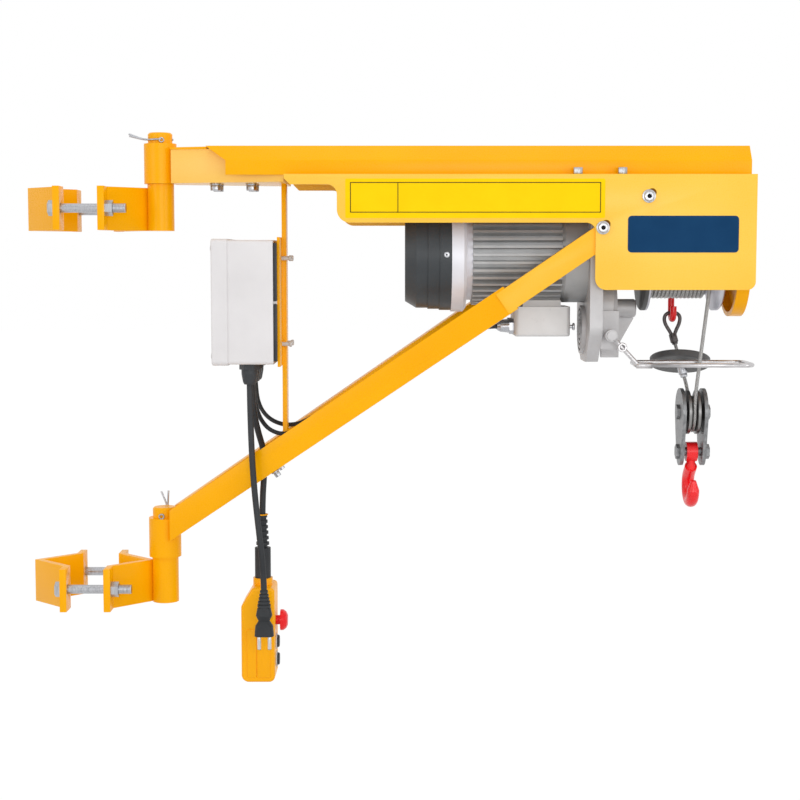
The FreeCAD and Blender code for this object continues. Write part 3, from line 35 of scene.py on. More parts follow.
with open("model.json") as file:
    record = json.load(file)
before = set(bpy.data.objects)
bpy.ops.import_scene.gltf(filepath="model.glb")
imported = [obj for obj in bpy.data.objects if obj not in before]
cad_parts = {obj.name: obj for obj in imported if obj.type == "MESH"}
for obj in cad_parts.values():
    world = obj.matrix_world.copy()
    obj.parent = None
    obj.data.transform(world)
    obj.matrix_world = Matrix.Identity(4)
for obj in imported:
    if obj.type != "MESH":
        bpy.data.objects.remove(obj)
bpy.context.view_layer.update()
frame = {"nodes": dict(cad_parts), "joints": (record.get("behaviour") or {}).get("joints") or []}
nodes = frame["nodes"]
MM = 0.001
PIVOT_X = next(joint["pos_m"][0] for joint in frame["joints"] if joint["name"] == "jib_swing")
X_AXIS = Vector((1, 0, 0))
Y_AXIS = Vector((0, 1, 0))
Z_AXIS = Vector((0, 0, 1))
FULL_TURN = 2 * math.pi
SIDES = (-1.0, 1.0)


def place(x, y, z):
    """A point in millimetres from the pivot axis, as metres in the part's frame."""
    return Vector((PIVOT_X + x * MM, y * MM, z * MM))


def along(base, axis, reach):
    """A point that lies some millimetres from a base along an axis."""
    return base + axis * (reach * MM)


# Shared surface effects

def new_group(name, inputs, outputs):
    tree = bpy.data.node_groups.new(name, "ShaderNodeTree")
    for label, kind, default in inputs:
        socket = tree.interface.new_socket(label, in_out="INPUT", socket_type=kind)
        socket.default_value = default
    for label in outputs:
        tree.interface.new_socket(label, in_out="OUTPUT", socket_type="NodeSocketFloat")
    return tree, tree.nodes.new("NodeGroupInput"), tree.nodes.new("NodeGroupOutput")


def mottle_and_grain():
    """Broad unevenness and fine grain of a coat or casting."""
    tree, given, out = new_group(
        "Mottle and grain",
        [("Vector", "NodeSocketVector", (0, 0, 0)), ("Broad", "NodeSocketFloat", 12.0),
         ("Fine", "NodeSocketFloat", 900.0)],
        ["Mottle", "Grain"])
    for source, label in (("Broad", "Mottle"), ("Fine", "Grain")):
        noise = tree.nodes.new("ShaderNodeTexNoise")
        noise.inputs["Detail"].default_value = 3.0
        tree.links.new(given.outputs["Vector"], noise.inputs["Vector"])
        tree.links.new(given.outputs[source], noise.inputs["Scale"])
        tree.links.new(noise.outputs["Fac"], out.inputs[label])
    return tree


def drawn_streaks():
    """Streaks left by a brush, a lathe or a die, long across the stretch."""
    tree, given, out = new_group(
        "Drawn streaks",
        [("Vector", "NodeSocketVector", (0, 0, 0)), ("Stretch", "NodeSocketVector", (1, 1, 1))],
        ["Streak"])
    squeeze = tree.nodes.new("ShaderNodeVectorMath")
    squeeze.operation = "MULTIPLY"
    noise = tree.nodes.new("ShaderNodeTexNoise")
    noise.inputs["Scale"].default_value = 1.0
    noise.inputs["Detail"].default_value = 4.0
    tree.links.new(given.outputs["Vector"], squeeze.inputs[0])
    tree.links.new(given.outputs["Stretch"], squeeze.inputs[1])
    tree.links.new(squeeze.outputs["Vector"], noise.inputs["Vector"])
    tree.links.new(noise.outputs["Fac"], out.inputs["Streak"])
    return tree


def strand_lay():
    """The slanting strands of a laid wire rope."""
    tree, given, out = new_group(
        "Strand lay",
        [("Vector", "NodeSocketVector", (0, 0, 0)), ("Turn", "NodeSocketVector", (0, 0, 0)),
         ("Pitch", "NodeSocketFloat", 300.0)],
        ["Strand"])
    turn = tree.nodes.new("ShaderNodeVectorRotate")
    turn.rotation_type = "EULER_XYZ"
    wave = tree.nodes.new("ShaderNodeTexWave")
    wave.bands_direction = "Z"
    wave.inputs["Distortion"].default_value = 0.4
    tree.links.new(given.outputs["Vector"], turn.inputs["Vector"])
    tree.links.new(given.outputs["Turn"], turn.inputs["Rotation"])
    tree.links.new(turn.outputs["Vector"], wave.inputs["Vector"])
    tree.links.new(given.outputs["Pitch"], wave.inputs["Scale"])
    tree.links.new(wave.outputs["Fac"], out.inputs["Strand"])
    return tree


def scattered_rubs():
    """Scattered small rubs, sparse and sharp."""
    tree, given, out = new_group(
        "Scattered rubs",
        [("Vector", "NodeSocketVector", (0, 0, 0)), ("Scale", "NodeSocketFloat", 60.0),
         ("Cut", "NodeSocketFloat", 0.68)],
        ["Rub"])
    noise = tree.nodes.new("ShaderNodeTexNoise")
    noise.inputs["Detail"].default_value = 6.0
    noise.inputs["Roughness"].default_value = 0.7
    over = tree.nodes.new("ShaderNodeMapRange")
    over.inputs["From Max"].default_value = 0.8
    tree.links.new(given.outputs["Vector"], noise.inputs["Vector"])
    tree.links.new(given.outputs["Scale"], noise.inputs["Scale"])
    tree.links.new(noise.outputs["Fac"], over.inputs["Value"])
    tree.links.new(given.outputs["Cut"], over.inputs["From Min"])
    tree.links.new(over.outputs["Result"], out.inputs["Rub"])
    return tree


MOTTLE = mottle_and_grain()
STREAKS = drawn_streaks()
STRANDS = strand_lay()
RUBS = scattered_rubs()


class Finish:
    """One material: a base shader with colour, gloss and relief fed by the shared effects."""

    def __init__(self, name, metallic=0.0, specular=0.5):
        self.material = bpy.data.materials.new(name)
        self.material.use_nodes = True
        self.tree = self.material.node_tree
        self.shader = self.tree.nodes["Principled BSDF"]
        self.shader.inputs["Metallic"].default_value = metallic
        self.shader.inputs["Specular IOR Level"].default_value = specular
        self.where = self.tree.nodes.new("ShaderNodeTexCoord").outputs["Object"]

    def effect(self, group, **values):
        node = self.tree.nodes.new("ShaderNodeGroup")
        node.node_tree = group
        for label, value in values.items():
            node.inputs[label].default_value = value
        self.tree.links.new(self.where, node.inputs["Vector"])
        return node

    def between(self, fac, low, high, dark=0.3, light=0.7):
        """A colour that goes from low to high with a mask."""
        ramp = self.tree.nodes.new("ShaderNodeValToRGB")
        ramp.color_ramp.elements[0].position = dark
        ramp.color_ramp.elements[1].position = light
        ramp.color_ramp.elements[0].color = (*low, 1)
        ramp.color_ramp.elements[1].color = (*high, 1)
        self.tree.links.new(fac, ramp.inputs["Fac"])
        return ramp.outputs["Color"]

    def worn(self, fac, colour, shade):
        """A colour with rubs of another shade over it."""
        mix = self.tree.nodes.new("ShaderNodeMix")
        mix.data_type = "RGBA"
        mix.inputs["B"].default_value = (*shade, 1)
        self.tree.links.new(fac, mix.inputs["Factor"])
        self.tree.links.new(colour, mix.inputs["A"])
        return mix.outputs["Result"]

    def ranged(self, fac, low, high):
        span = self.tree.nodes.new("ShaderNodeMapRange")
        span.inputs["To Min"].default_value = low
        span.inputs["To Max"].default_value = high
        self.tree.links.new(fac, span.inputs["Value"])
        return span.outputs["Result"]

    def colour(self, socket):
        self.tree.links.new(socket, self.shader.inputs["Base Color"])

    def gloss(self, fac, low, high):
        self.tree.links.new(self.ranged(fac, low, high), self.shader.inputs["Roughness"])

    def relief(self, fac, strength, depth):
        bump = self.tree.nodes.new("ShaderNodeBump")
        bump.inputs["Strength"].default_value = strength
        bump.inputs["Distance"].default_value = depth
        self.tree.links.new(fac, bump.inputs["Height"])
        self.tree.links.new(bump.outputs["Normal"], self.shader.inputs["Normal"])


def powder_coat(name, low, high, rub, specular=0.25):
    """Sprayed and baked paint with a slight orange peel."""
    made = Finish(name, specular=specular)
    skin = made.effect(MOTTLE, Broad=9.0, Fine=620.0)
    rubs = made.effect(RUBS, Scale=46.0, Cut=0.66)
    made.colour(made.worn(made.ranged(rubs.outputs["Rub"], 0.0, 0.35),
                          made.between(skin.outputs["Mottle"], low, high), rub))
    made.gloss(skin.outputs["Grain"], low=0.22, high=0.34)
    made.relief(skin.outputs["Grain"], strength=0.07, depth=0.0003)
    return made.material


def moulded_plastic(name, low, high, rough=(0.38, 0.52), fine=1500.0, specular=0.3):
    """Plastic or rubber with the fine grain of its mould."""
    made = Finish(name, specular=specular)
    skin = made.effect(MOTTLE, Broad=14.0, Fine=fine)
    made.colour(made.between(skin.outputs["Mottle"], low, high))
    made.gloss(skin.outputs["Grain"], *rough)
    made.relief(skin.outputs["Grain"], strength=0.1, depth=0.0002)
    return made.material


def cast_metal(name, low, high, rough=(0.42, 0.62), metallic=0.35):
    """Sand or die casting with a thin grey coat."""
    made = Finish(name, metallic=metallic)
    skin = made.effect(MOTTLE, Broad=22.0, Fine=420.0)
    rubs = made.effect(RUBS, Scale=70.0, Cut=0.62)
    rubbed = tuple(0.6 * part for part in low)
    made.colour(made.worn(made.ranged(rubs.outputs["Rub"], 0.0, 0.4),
                          made.between(skin.outputs["Mottle"], low, high), rubbed))
    made.gloss(skin.outputs["Grain"], *rough)
    made.relief(skin.outputs["Grain"], strength=0.22, depth=0.0004)
    return made.material


def drawn_steel(name, low, high, stretch, rough=(0.22, 0.4), metallic=1.0):
    """Bar, plate or turned steel with the streaks of its making."""
    made = Finish(name, metallic=metallic)
    lines = made.effect(STREAKS, Stretch=stretch)
    made.colour(made.between(lines.outputs["Streak"], low, high))
    made.gloss(lines.outputs["Streak"], *rough)
    made.relief(lines.outputs["Streak"], strength=0.08, depth=0.0002)
    return made.material


def wire_rope(name, turn, pitch):
    """Bare steel rope whose dark gaps between its strands are painted shade."""
    made = Finish(name, metallic=0.75)
    lay = made.effect(STRANDS, Turn=turn, Pitch=pitch)
    # The dark end of the ramp is painted shade in the gaps between strands.
    made.colour(made.between(lay.outputs["Strand"], (0.16, 0.155, 0.15), (0.62, 0.61, 0.6),
                             dark=0.1, light=0.8))
    made.gloss(lay.outputs["Strand"], low=0.5, high=0.3)
    made.relief(lay.outputs["Strand"], strength=0.6, depth=0.0005)
    return made.material


def flat_print(name, low, high):
    """Printed film, and painted shade in dull dark recesses and slots."""
    made = Finish(name, specular=0.06)
    skin = made.effect(MOTTLE, Broad=30.0, Fine=1100.0)
    made.colour(made.between(skin.outputs["Mottle"], low, high))
    made.gloss(skin.outputs["Grain"], low=0.4, high=0.55)
    return made.material


FRAME_PAINT = powder_coat("frame paint", (0.96, 0.42, 0.0), (1.0, 0.46, 0.001), (0.86, 0.34, 0.0), 0.15)
# A paler copy of the frame paint for the arm root: painted light on its near face.
ROOT_PAINT_LIT = powder_coat("root paint with painted light", (0.98, 0.57, 0.10), (1.0, 0.61, 0.13), (0.90, 0.48, 0.04))
# A paler copy of the frame paint for the side panels: painted sheen of the white surround.
PANEL_PAINT_SHEEN = powder_coat("panel paint with painted sheen", (0.98, 0.555, 0.055), (1.0, 0.595, 0.075), (0.90, 0.46, 0.02))
# A paler copy of the frame paint for the struts' inner tubes: painted light.
INNER_TUBE_PAINT_LIT = powder_coat(
    "inner tube paint with painted light", (0.97, 0.49, 0.025), (1.0, 0.53, 0.04), (0.88, 0.40, 0.01), 0.15)
PENDANT_SHELL = moulded_plastic(
    "pendant shell", (0.96, 0.41, 0.0), (1.0, 0.45, 0.002), (0.26, 0.36), specular=0.2)
BOX_SHELL = moulded_plastic("box shell", (0.71, 0.69, 0.695), (0.77, 0.75, 0.755), specular=0.2)
# Dark plastic of glands and buttons, which also paints the shade in the gap behind the control box.
DARK_PLASTIC_AND_GAP_SHADE = moulded_plastic("dark plastic and gap shade", (0.028, 0.031, 0.035), (0.045, 0.049, 0.054))
FAN_SHELL = moulded_plastic("fan shell", (0.04, 0.045, 0.05), (0.06, 0.067, 0.073), (0.32, 0.5), 700.0)
CORD_RUBBER = moulded_plastic(
    "cord rubber", (0.02, 0.022, 0.025), (0.038, 0.041, 0.045), (0.45, 0.62), 2200.0)
RED_PAINT = powder_coat("red paint", (0.80, 0.004, 0.008), (0.95, 0.010, 0.014), (0.45, 0.004, 0.004), 0.5)
RED_CAP = moulded_plastic("red cap", (0.82, 0.006, 0.012), (0.94, 0.012, 0.018), (0.2, 0.34))
MOTOR_CASTING = cast_metal("motor casting", (0.36, 0.363, 0.365), (0.48, 0.483, 0.485))
BELL_CASTING = cast_metal("bell casting", (0.72, 0.715, 0.765), (0.82, 0.815, 0.865), (0.35, 0.5), 0.1)
GEAR_CASTING = cast_metal("gear casting", (0.46, 0.45, 0.455), (0.56, 0.55, 0.555), (0.4, 0.56), 0.25)
TERMINAL_CASTING = cast_metal(
    "terminal casting", (0.56, 0.55, 0.548), (0.65, 0.64, 0.638), (0.4, 0.56), 0.15)
ZINC = drawn_steel("zinc plate", (0.33, 0.335, 0.355), (0.56, 0.565, 0.59), (900, 900, 60))
LEVER_STEEL = drawn_steel("bent rod steel", (0.42, 0.41, 0.415), (0.7, 0.685, 0.69), (60, 700, 700))
BLOCK_STEEL = drawn_steel(
    "block plate", (0.17, 0.172, 0.177), (0.31, 0.313, 0.32), (300, 160, 160), (0.35, 0.5), 0.8)
SHEAVE_STEEL = drawn_steel(
    "turned sheave", (0.16, 0.158, 0.155), (0.36, 0.355, 0.35), (1400, 40, 40), (0.3, 0.45))
DRUM_STEEL = drawn_steel(
    "turned drum", (0.5, 0.5, 0.55), (0.66, 0.66, 0.72), (1200, 60, 60), (0.35, 0.5), 0.5)
DARK_IRON = cast_metal("dark iron", (0.075, 0.074, 0.075), (0.115, 0.114, 0.115), (0.45, 0.65), 0.3)
HANGING_ROPE = wire_rope("hanging rope", (0.0, 0.7, 0.0), 320.0)
WOUND_ROPE = wire_rope("wound rope", (0.9, 0.0, 0.0), 260.0)
DARK_FERRULE = drawn_steel(
    "dark ferrule", (0.07, 0.06, 0.062), (0.16, 0.145, 0.145), (300, 300, 300), (0.4, 0.6), 0.6)
PLUG_PIN = drawn_steel("plug pin", (0.5, 0.48, 0.47), (0.72, 0.7, 0.68), (700, 700, 80), (0.2, 0.34))
YELLOW_FILM = flat_print("yellow film", (0.96, 0.62, 0.0), (1.0, 0.655, 0.001))
# Black for the film's printed frame, and painted shade in screw recesses.
BLACK_PRINT_AND_RECESS_SHADE = flat_print("black print and recess shade", (0.012, 0.012, 0.012), (0.02, 0.02, 0.02))
BLUE_FILM = flat_print("blue film", (0.004, 0.041, 0.115), (0.006, 0.048, 0.130))
SLOT_SHADE = flat_print("slot shade", (0.15, 0.055, 0.003), (0.20, 0.08, 0.005))
PALE_CAP = moulded_plastic("pale cap", (0.55, 0.55, 0.55), (0.66, 0.66, 0.66))

NODE_FINISH = {
    "upper_pivot_pin": FRAME_PAINT, "lower_pivot_pin": FRAME_PAINT, "upper_sleeve": FRAME_PAINT,
    "lower_sleeve": FRAME_PAINT, "drum_end_plate": FRAME_PAINT,
    "clamp_bolts": ZINC, "tie_rods": ZINC, "box_glands": DARK_PLASTIC_AND_GAP_SHADE,
    "terminal_glands": ZINC, "motor_fan_cover": FAN_SHELL, "motor_end_bell": BELL_CASTING,
    "motor_body": MOTOR_CASTING, "terminal_box": TERMINAL_CASTING, "gear_flange": GEAR_CASTING,
    "gear_case": GEAR_CASTING, "hoist_bracket": GEAR_CASTING, "stop_weight": DARK_IRON,
    "hoist_rope": HANGING_ROPE, "hook_block": BLOCK_STEEL, "sheave": SHEAVE_STEEL,
    "anchor_hook": RED_PAINT, "load_hook": RED_PAINT, "pendant_body": PENDANT_SHELL,
    "pendant_boot": CORD_RUBBER, "stop_button": RED_CAP, "up_button": DARK_PLASTIC_AND_GAP_SHADE,
    "down_button": DARK_PLASTIC_AND_GAP_SHADE, "power_plug": CORD_RUBBER, "control_box": BOX_SHELL,
    "control_box_lid": BOX_SHELL,
}


def dress_nodes():
    """Finishes of the CAD nodes that are shown as they are."""
    for name, material in NODE_FINISH.items():
        for slot in nodes[name].material_slots:
            slot.material = material


# Making pieces

MERGE_DISTANCE = 0.01 * MM
FLAT_ANGLE = math.radians(0.6)
CORNER_ANGLE = math.radians(30.0)
RIM_ANGLE = math.radians(60)
WIRE_SIDES = 10


def aim(axis):
    """A turn that takes +Z onto the axis."""
    return Z_AXIS.rotation_difference(axis).to_matrix().to_4x4()


def across(axis):
    """A direction square to the axis."""
    return aim(axis).to_3x3() @ X_AXIS


def edges_of(verts):
    return list({edge for vert in verts for edge in vert.link_edges})


def round_off(bm, edges, width, segments=2, clamp=False):
    """Rounds edges off by a width in millimetres."""
    bmesh.ops.bevel(bm, geom=edges, offset=width * MM, segments=segments, profile=0.5, affect="EDGES",
                    clamp_overlap=clamp, material=-1)


def raise_face(bm, face, way, closed=False):
    """Extrudes a face by a vector, and keeps its back where the piece is closed."""
    raised = bmesh.ops.extrude_face_region(bm, geom=[face], use_keep_orig=closed)["geom"]
    lifted = [item for item in raised if isinstance(item, bmesh.types.BMVert)]
    bmesh.ops.translate(bm, verts=lifted, vec=way)


def finish_piece(bm, name, material, body, sharp=35.0):
    """Turns a bmesh into a piece that rides on a body."""
    bmesh.ops.recalc_face_normals(bm, faces=bm.faces)
    mesh = bpy.data.meshes.new(name)
    bm.to_mesh(mesh)
    bm.free()
    mesh.polygons.foreach_set("use_smooth", [True] * len(mesh.polygons))
    mesh.set_sharp_from_angle(angle=math.radians(sharp))
    for each in material if isinstance(material, list) else [material]:
        mesh.materials.append(each)
    piece = bpy.data.objects.new(name, mesh)
    bpy.context.scene.collection.objects.link(piece)
    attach(piece, body)
    return piece


def merged_copy(node):
    """A CAD node's mesh with its doubled corners joined."""
    bm = bmesh.new()
    bm.from_mesh(nodes[node].data)
    bmesh.ops.remove_doubles(bm, verts=bm.verts, dist=MERGE_DISTANCE)
    return bm


def cut_at(bm, x, clear=False):
    """Cuts a mesh across X, and clears what lies before the cut if asked."""
    bmesh.ops.bisect_plane(bm, geom=bm.verts[:] + bm.edges[:] + bm.faces[:], plane_co=place(x, 0, 0),
                           plane_no=X_AXIS, clear_inner=clear)


def rounded_copy(node, material, body, width, start_x=None):
    """A copy that stands for a CAD node, with its sharp edges broken, and cut off before a start."""
    bm = merged_copy(node)
    bmesh.ops.dissolve_limit(bm, angle_limit=FLAT_ANGLE, verts=bm.verts, edges=bm.edges)
    if start_x is not None:
        cut_at(bm, start_x, clear=True)
        bmesh.ops.holes_fill(bm, edges=[edge for edge in bm.edges if edge.is_boundary], sides=0)
    corners = [edge for edge in bm.edges
               if len(edge.link_faces) == 2 and edge.calc_face_angle(0.0) > CORNER_ANGLE]
    round_off(bm, corners, width, clamp=True)
    piece = finish_piece(bm, node + "_dressed", material, body)
    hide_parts(node)
    return piece


def two_tone(node, materials, body, cut_x):
    """A copy that stands for a CAD node, in one finish before a cut and another beyond it."""
    bm = merged_copy(node)
    cut_at(bm, cut_x)
    cut = place(cut_x, 0, 0)
    for face in bm.faces:
        face.material_index = int((face.calc_center_median() - cut).dot(X_AXIS) > 0)
    piece = finish_piece(bm, node + "_dressed", materials, body)
    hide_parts(node)


def add_bar(bm, low, high, edge=0.0):
    """A bar between two corners, with its edges broken."""
    verts = bmesh.ops.create_cube(bm, size=1.0)["verts"]
    bmesh.ops.scale(bm, vec=(Vector(high) - Vector(low)) * MM, verts=verts)
    bmesh.ops.translate(bm, vec=(place(*low) + place(*high)) / 2, verts=verts)
    if edge:
        round_off(bm, edges_of(verts), edge)


def add_post(bm, base, axis, radius, height, sides):
    """A straight post that stands on a base point. Its corners are given back."""
    upright = Matrix.Translation(along(base, axis, height / 2)) @ aim(axis)
    return bmesh.ops.create_cone(bm, cap_ends=True, segments=sides, radius1=radius * MM, radius2=radius * MM,
                                 depth=height * MM, matrix=upright)["verts"]


def add_hex(bm, base, axis, flats, height):
    """A hexagon head or nut with its corners broken."""
    verts = add_post(bm, base, axis, flats / math.sqrt(3.0), height, 6)
    round_off(bm, edges_of(verts), 0.05 * flats)


def add_disc(bm, base, axis, diameter, height, edge=0.25, sides=40):
    """A washer, cap or pin end with a broken rim."""
    verts = add_post(bm, base, axis, diameter / 2, height, sides)
    rims = [item for item in edges_of(verts) if item.calc_face_angle(0.0) > RIM_ANGLE]
    round_off(bm, rims, edge)


def add_socket_screw(bm, base, axis, diameter, height, key):
    """A round head with a hexagon recess."""
    verts = add_post(bm, base, axis, diameter / 2, height, 36)
    ends = [face for face in {item for vert in verts for item in vert.link_faces} if len(face.verts) > 4]
    top = max(ends, key=lambda face: face.calc_center_median().dot(axis))
    rim = list(top.edges)
    bmesh.ops.inset_region(bm, faces=[top], thickness=diameter * 0.22 * MM)
    middle = top.calc_center_median()
    side = axis.cross(across(axis))
    for vert in top.verts:
        arm = vert.co - middle
        turn = math.atan2(arm.dot(side), arm.dot(across(axis)))
        reach = key / 2 * MM / math.cos((turn % (math.pi / 3)) - math.pi / 6)
        vert.co = middle + arm.normalized() * reach
    sunk = bmesh.ops.extrude_discrete_faces(bm, faces=[top])["faces"]
    floor = list({vert for face in sunk for vert in face.verts})
    bmesh.ops.translate(bm, verts=floor, vec=axis * (-0.6 * height * MM))
    round_off(bm, [edge for edge in rim if edge.is_valid], 0.09 * diameter, 3)


def add_thread(bm, start, axis, radius, pitch, length):
    """Ridges of a screw thread round a bolt's end."""
    chain = []
    for step in range(2 * int(length / pitch) + 1):
        reach = radius + (0.18 * pitch if step % 2 else -0.12 * pitch)
        chain.append(bm.verts.new(along(along(start, axis, step * pitch / 2), across(axis), reach)))
    edges = [bm.edges.new(pair) for pair in zip(chain, chain[1:])]
    bmesh.ops.spin(bm, geom=chain + edges, cent=start, axis=axis, angle=FULL_TURN, steps=28, use_merge=True)


def add_ring(bm, centre, axis, radius, wire, steps=40):
    """A round wire ring."""
    start = Matrix.Translation(along(centre, across(axis), radius)) @ aim(axis.cross(across(axis)))
    verts = bmesh.ops.create_circle(bm, cap_ends=False, segments=WIRE_SIDES, radius=wire / 2 * MM,
                                    matrix=start)["verts"]
    bmesh.ops.spin(bm, geom=verts + edges_of(verts), cent=centre, axis=axis, angle=FULL_TURN, steps=steps,
                   use_merge=True)


def wire_piece(name, lines, diameter, material, body):
    """Bent wire along one or more smooth lines."""
    curve = bpy.data.curves.new(name, "CURVE")
    curve.dimensions = "3D"
    for line in lines:
        spline = curve.splines.new("NURBS")
        spline.points.add(len(line) - 1)
        for point, spot in zip(spline.points, line):
            point.co = (*place(*spot), 1)
        spline.order_u = 3
        spline.use_endpoint_u = True
        spline.resolution_u = 8
    curve.bevel_depth = diameter / 2 * MM
    curve.bevel_resolution = 3
    curve.use_fill_caps = True
    curve.materials.append(material)
    piece = bpy.data.objects.new(name, curve)
    bpy.context.scene.collection.objects.link(piece)
    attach(piece, body)
    return piece


# Cords, with their routes and diameters in millimetres

CORD_DIAMETER = 8.5
CABLE_DIAMETER = 6.0
POWER_ROUTE = [
    (123, -45, -235), (123.3, -45.6, -262), (124.5, -49, -300), (126.5, -55, -340), (130, -60.5, -382),
    (134.5, -63, -424), (138.5, -63.5, -460), (141, -62.6, -490), (141.5, -62, -513)]
PENDANT_ROUTE = [
    (123, -15, -235), (123.8, -14.6, -259), (126.6, -12, -284), (131.2, -7.5, -306), (136.4, -2.6, -325),
    (138.6, -0.4, -346), (137.2, 0.2, -370), (135.4, 0.1, -394), (135, 0, -419)]
MOTOR_ROUTE = [
    (123, 45, -235), (123.8, 44.4, -251), (127, 41, -268), (135.5, 34.5, -282.5), (149, 27, -292.5),
    (168, 21.5, -297.5), (192, 17, -293), (231, 13, -268), (279, 11, -235), (327, 12.4, -203),
    (372, 15.6, -177), (410, 18.6, -163), (436, 19.8, -158.4), (457, 20, -158)]
SWITCH_ROUTE = [
    (123, 15, -235), (123.6, 14.2, -253), (127, 9, -273), (134.5, 0, -289), (147, -10.5, -301),
    (166, -19.6, -306), (190, -22, -301), (230, -22.6, -276), (278, -25, -243), (326, -28.5, -211),
    (371, -29, -183), (409, -25, -165.4), (436, -20.8, -158.8), (457, -20, -158)]


def lay_cord(node, route, diameter):
    """A free cord on its route, in place of its plain tube."""
    piece = wire_piece(node + "_laid", [route], diameter, CORD_RUBBER, "jib")
    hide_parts(node)


def cords():
    lay_cord("power_cord", POWER_ROUTE, CORD_DIAMETER)
    lay_cord("pendant_cord", PENDANT_ROUTE, CORD_DIAMETER)
    lay_cord("motor_cable", MOTOR_ROUTE, CABLE_DIAMETER)
    lay_cord("switch_cable", SWITCH_ROUTE, CABLE_DIAMETER)


# Frame steelwork

JAW_EDGE = 1.0
STRUT_EDGE = 2.2
HANGER_EDGE = 0.7
ROOT_EDGE = 1.2
SHEET_EDGE = 0.8
COVER_EDGE = 0.6
ROOT_START_X = 18
STRUT_START_X = 10.0
STRUT_STEP_X = 462.0
COVER_PLAN = ((17, -28), (67.8, -43), (67.8, 43), (17, 28))


def steelwork():
    """Plates, folded sheets and bars with their edges broken as sheared and sprayed steel has them."""
    for node in ("upper_fixed_jaw", "upper_loose_jaw", "lower_fixed_jaw", "lower_loose_jaw"):
        rounded_copy(node, FRAME_PAINT, "column_clamps", JAW_EDGE)
    for node in ("near_strut", "far_strut"):
        strut = rounded_copy(node, [FRAME_PAINT, INNER_TUBE_PAINT_LIT], "jib", STRUT_EDGE,
                             STRUT_START_X)
        # Faces beyond the step, on the inner tube, take the paler paint: painted light.
        for face in strut.data.polygons:
            face.material_index = int(face.center.x > place(STRUT_STEP_X, 0, 0).x)
    rounded_copy("box_hanger", FRAME_PAINT, "jib", HANGER_EDGE)
    # The arm root takes the paler root paint, which paints light on its near face.
    rounded_copy("arm_root", ROOT_PAINT_LIT, "jib", ROOT_EDGE, ROOT_START_X)
    rounded_copy("roof_channel", FRAME_PAINT, "jib", SHEET_EDGE)
    # The side panels take the paler panel paint: painted sheen.
    for node in ("near_side_panel", "far_side_panel"):
        rounded_copy(node, PANEL_PAINT_SHEEN, "jib", SHEET_EDGE)


def root_cover():
    """The top plate of the tapered root, from the sleeve to the roof's edge."""
    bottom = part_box("arm_root")[1].z
    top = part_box("roof_channel")[1].z
    bm = bmesh.new()
    corners = [place(x, y, 0) for x, y in COVER_PLAN]
    plan = bm.faces.new([bm.verts.new((spot.x, spot.y, bottom)) for spot in corners])
    raise_face(bm, plan, Z_AXIS * (top - bottom), closed=True)
    round_off(bm, bm.edges[:], COVER_EDGE)
    finish_piece(bm, "root_cover", FRAME_PAINT, "jib")


# Fasteners of the clamps and the frame

CLAMP_LEVELS = (0.0, -511.0)
CLAMP_BOLT_SIDE = 63.0
NUT_SEAT_X = -64
HEAD_SEAT_X = -132
NUT_HEIGHT = 10
NUT_FACE = 9.9
HEAD_FACE = 7.9

ROOT_BOLT_XS = (76.5, 125.0)
ROOT_BOLT_SIDE = 17.0
ROOT_UNDERSIDE = 34.3
ROOT_WASHER = 2.0
SHELF_BOLT_XS = (557.5, 615.6)
SHELF_BOLT_SIDE = 86.0
SHELF_TOP = 43.0
STRUT_BOLT_X = 146.0
STRUT_BOLT_SIDE = 36.7
STRUT_FOOT_Z = -438.7
STRUT_SLOPE = math.radians(34.3)
STRUT_HALF_DEPTH = 17.5
STRUT_WASHER = 1.6

BOX_BACK_X = 157.0
HANGER_PLATE_X = 161.5
STUD_LEVELS = (-66.0, -182.0)
STUD_SIDE = 19.0
STUD_HEAD = 13.0
# Spans and half width of the dark blocks that paint the shade in the gap behind the control box.
GAP_SHADOW_SPANS = ((-46.0, -123.0), (-126.5, -203.0))
GAP_SHADOW_HALF_WIDTH = 65.5

PANEL_FACE = 97.0
PANEL_SCREW_SPOTS = ((589.5, -26.5), (648.9, 14.4))
PANEL_WASHER = 1.2
RECESS_LEVEL = 3.1
SLOT_SHADOW_SHIFT_X = 4.2
SLOT_SHADOW_SHIFT_Z = 4.6

UPPER_CLIP = [
    [(18, 0, 94), (0, 0, 94), (-18, 0, 94), (-26, -0.5, 95.5), (-34, -1.5, 98.5), (-42, -3, 101.5)],
    [(4, -18.6, 93.6), (-5, -19.6, 93.2), (-13, -15.5, 93), (-20, -8, 93.6), (-29, -5, 95.6),
     (-41, -6, 98.6)]]
LOWER_CLIP = [
    [(0, -18.4, -417), (0, 0, -417), (0, 17.4, -417), (0.4, 18.9, -412), (-1, 19, -405),
     (-7.5, 19.2, -389.5)],
    [(1, 17.6, -416), (1.4, 19, -411), (1.6, 19, -403), (2.6, 19.2, -388.5)]]
UPPER_EYE = (4.5, -18.6, 92.4)
LOWER_EYE = (-2.0, -18.2, -419.4)
CLIP_WIRE = 2.6


def clamp_hardware():
    """Threaded ends of the long clamp bolts, and the round faces of their heads and nuts."""
    bm = bmesh.new()
    for level in CLAMP_LEVELS:
        for side in SIDES:
            nut_seat = place(NUT_SEAT_X, side * CLAMP_BOLT_SIDE, level)
            head_seat = place(HEAD_SEAT_X, side * CLAMP_BOLT_SIDE, level)
            add_thread(bm, along(nut_seat, X_AXIS, NUT_HEIGHT), X_AXIS, radius=6.0, pitch=1.75, length=16.0)
            add_disc(bm, along(head_seat, X_AXIS, -HEAD_FACE), X_AXIS, diameter=14.0, height=0.6)
            add_disc(bm, along(nut_seat, X_AXIS, NUT_FACE), X_AXIS, diameter=14.2, height=0.5)
    finish_piece(bm, "clamp_bolt_threads", ZINC, "column_clamps")


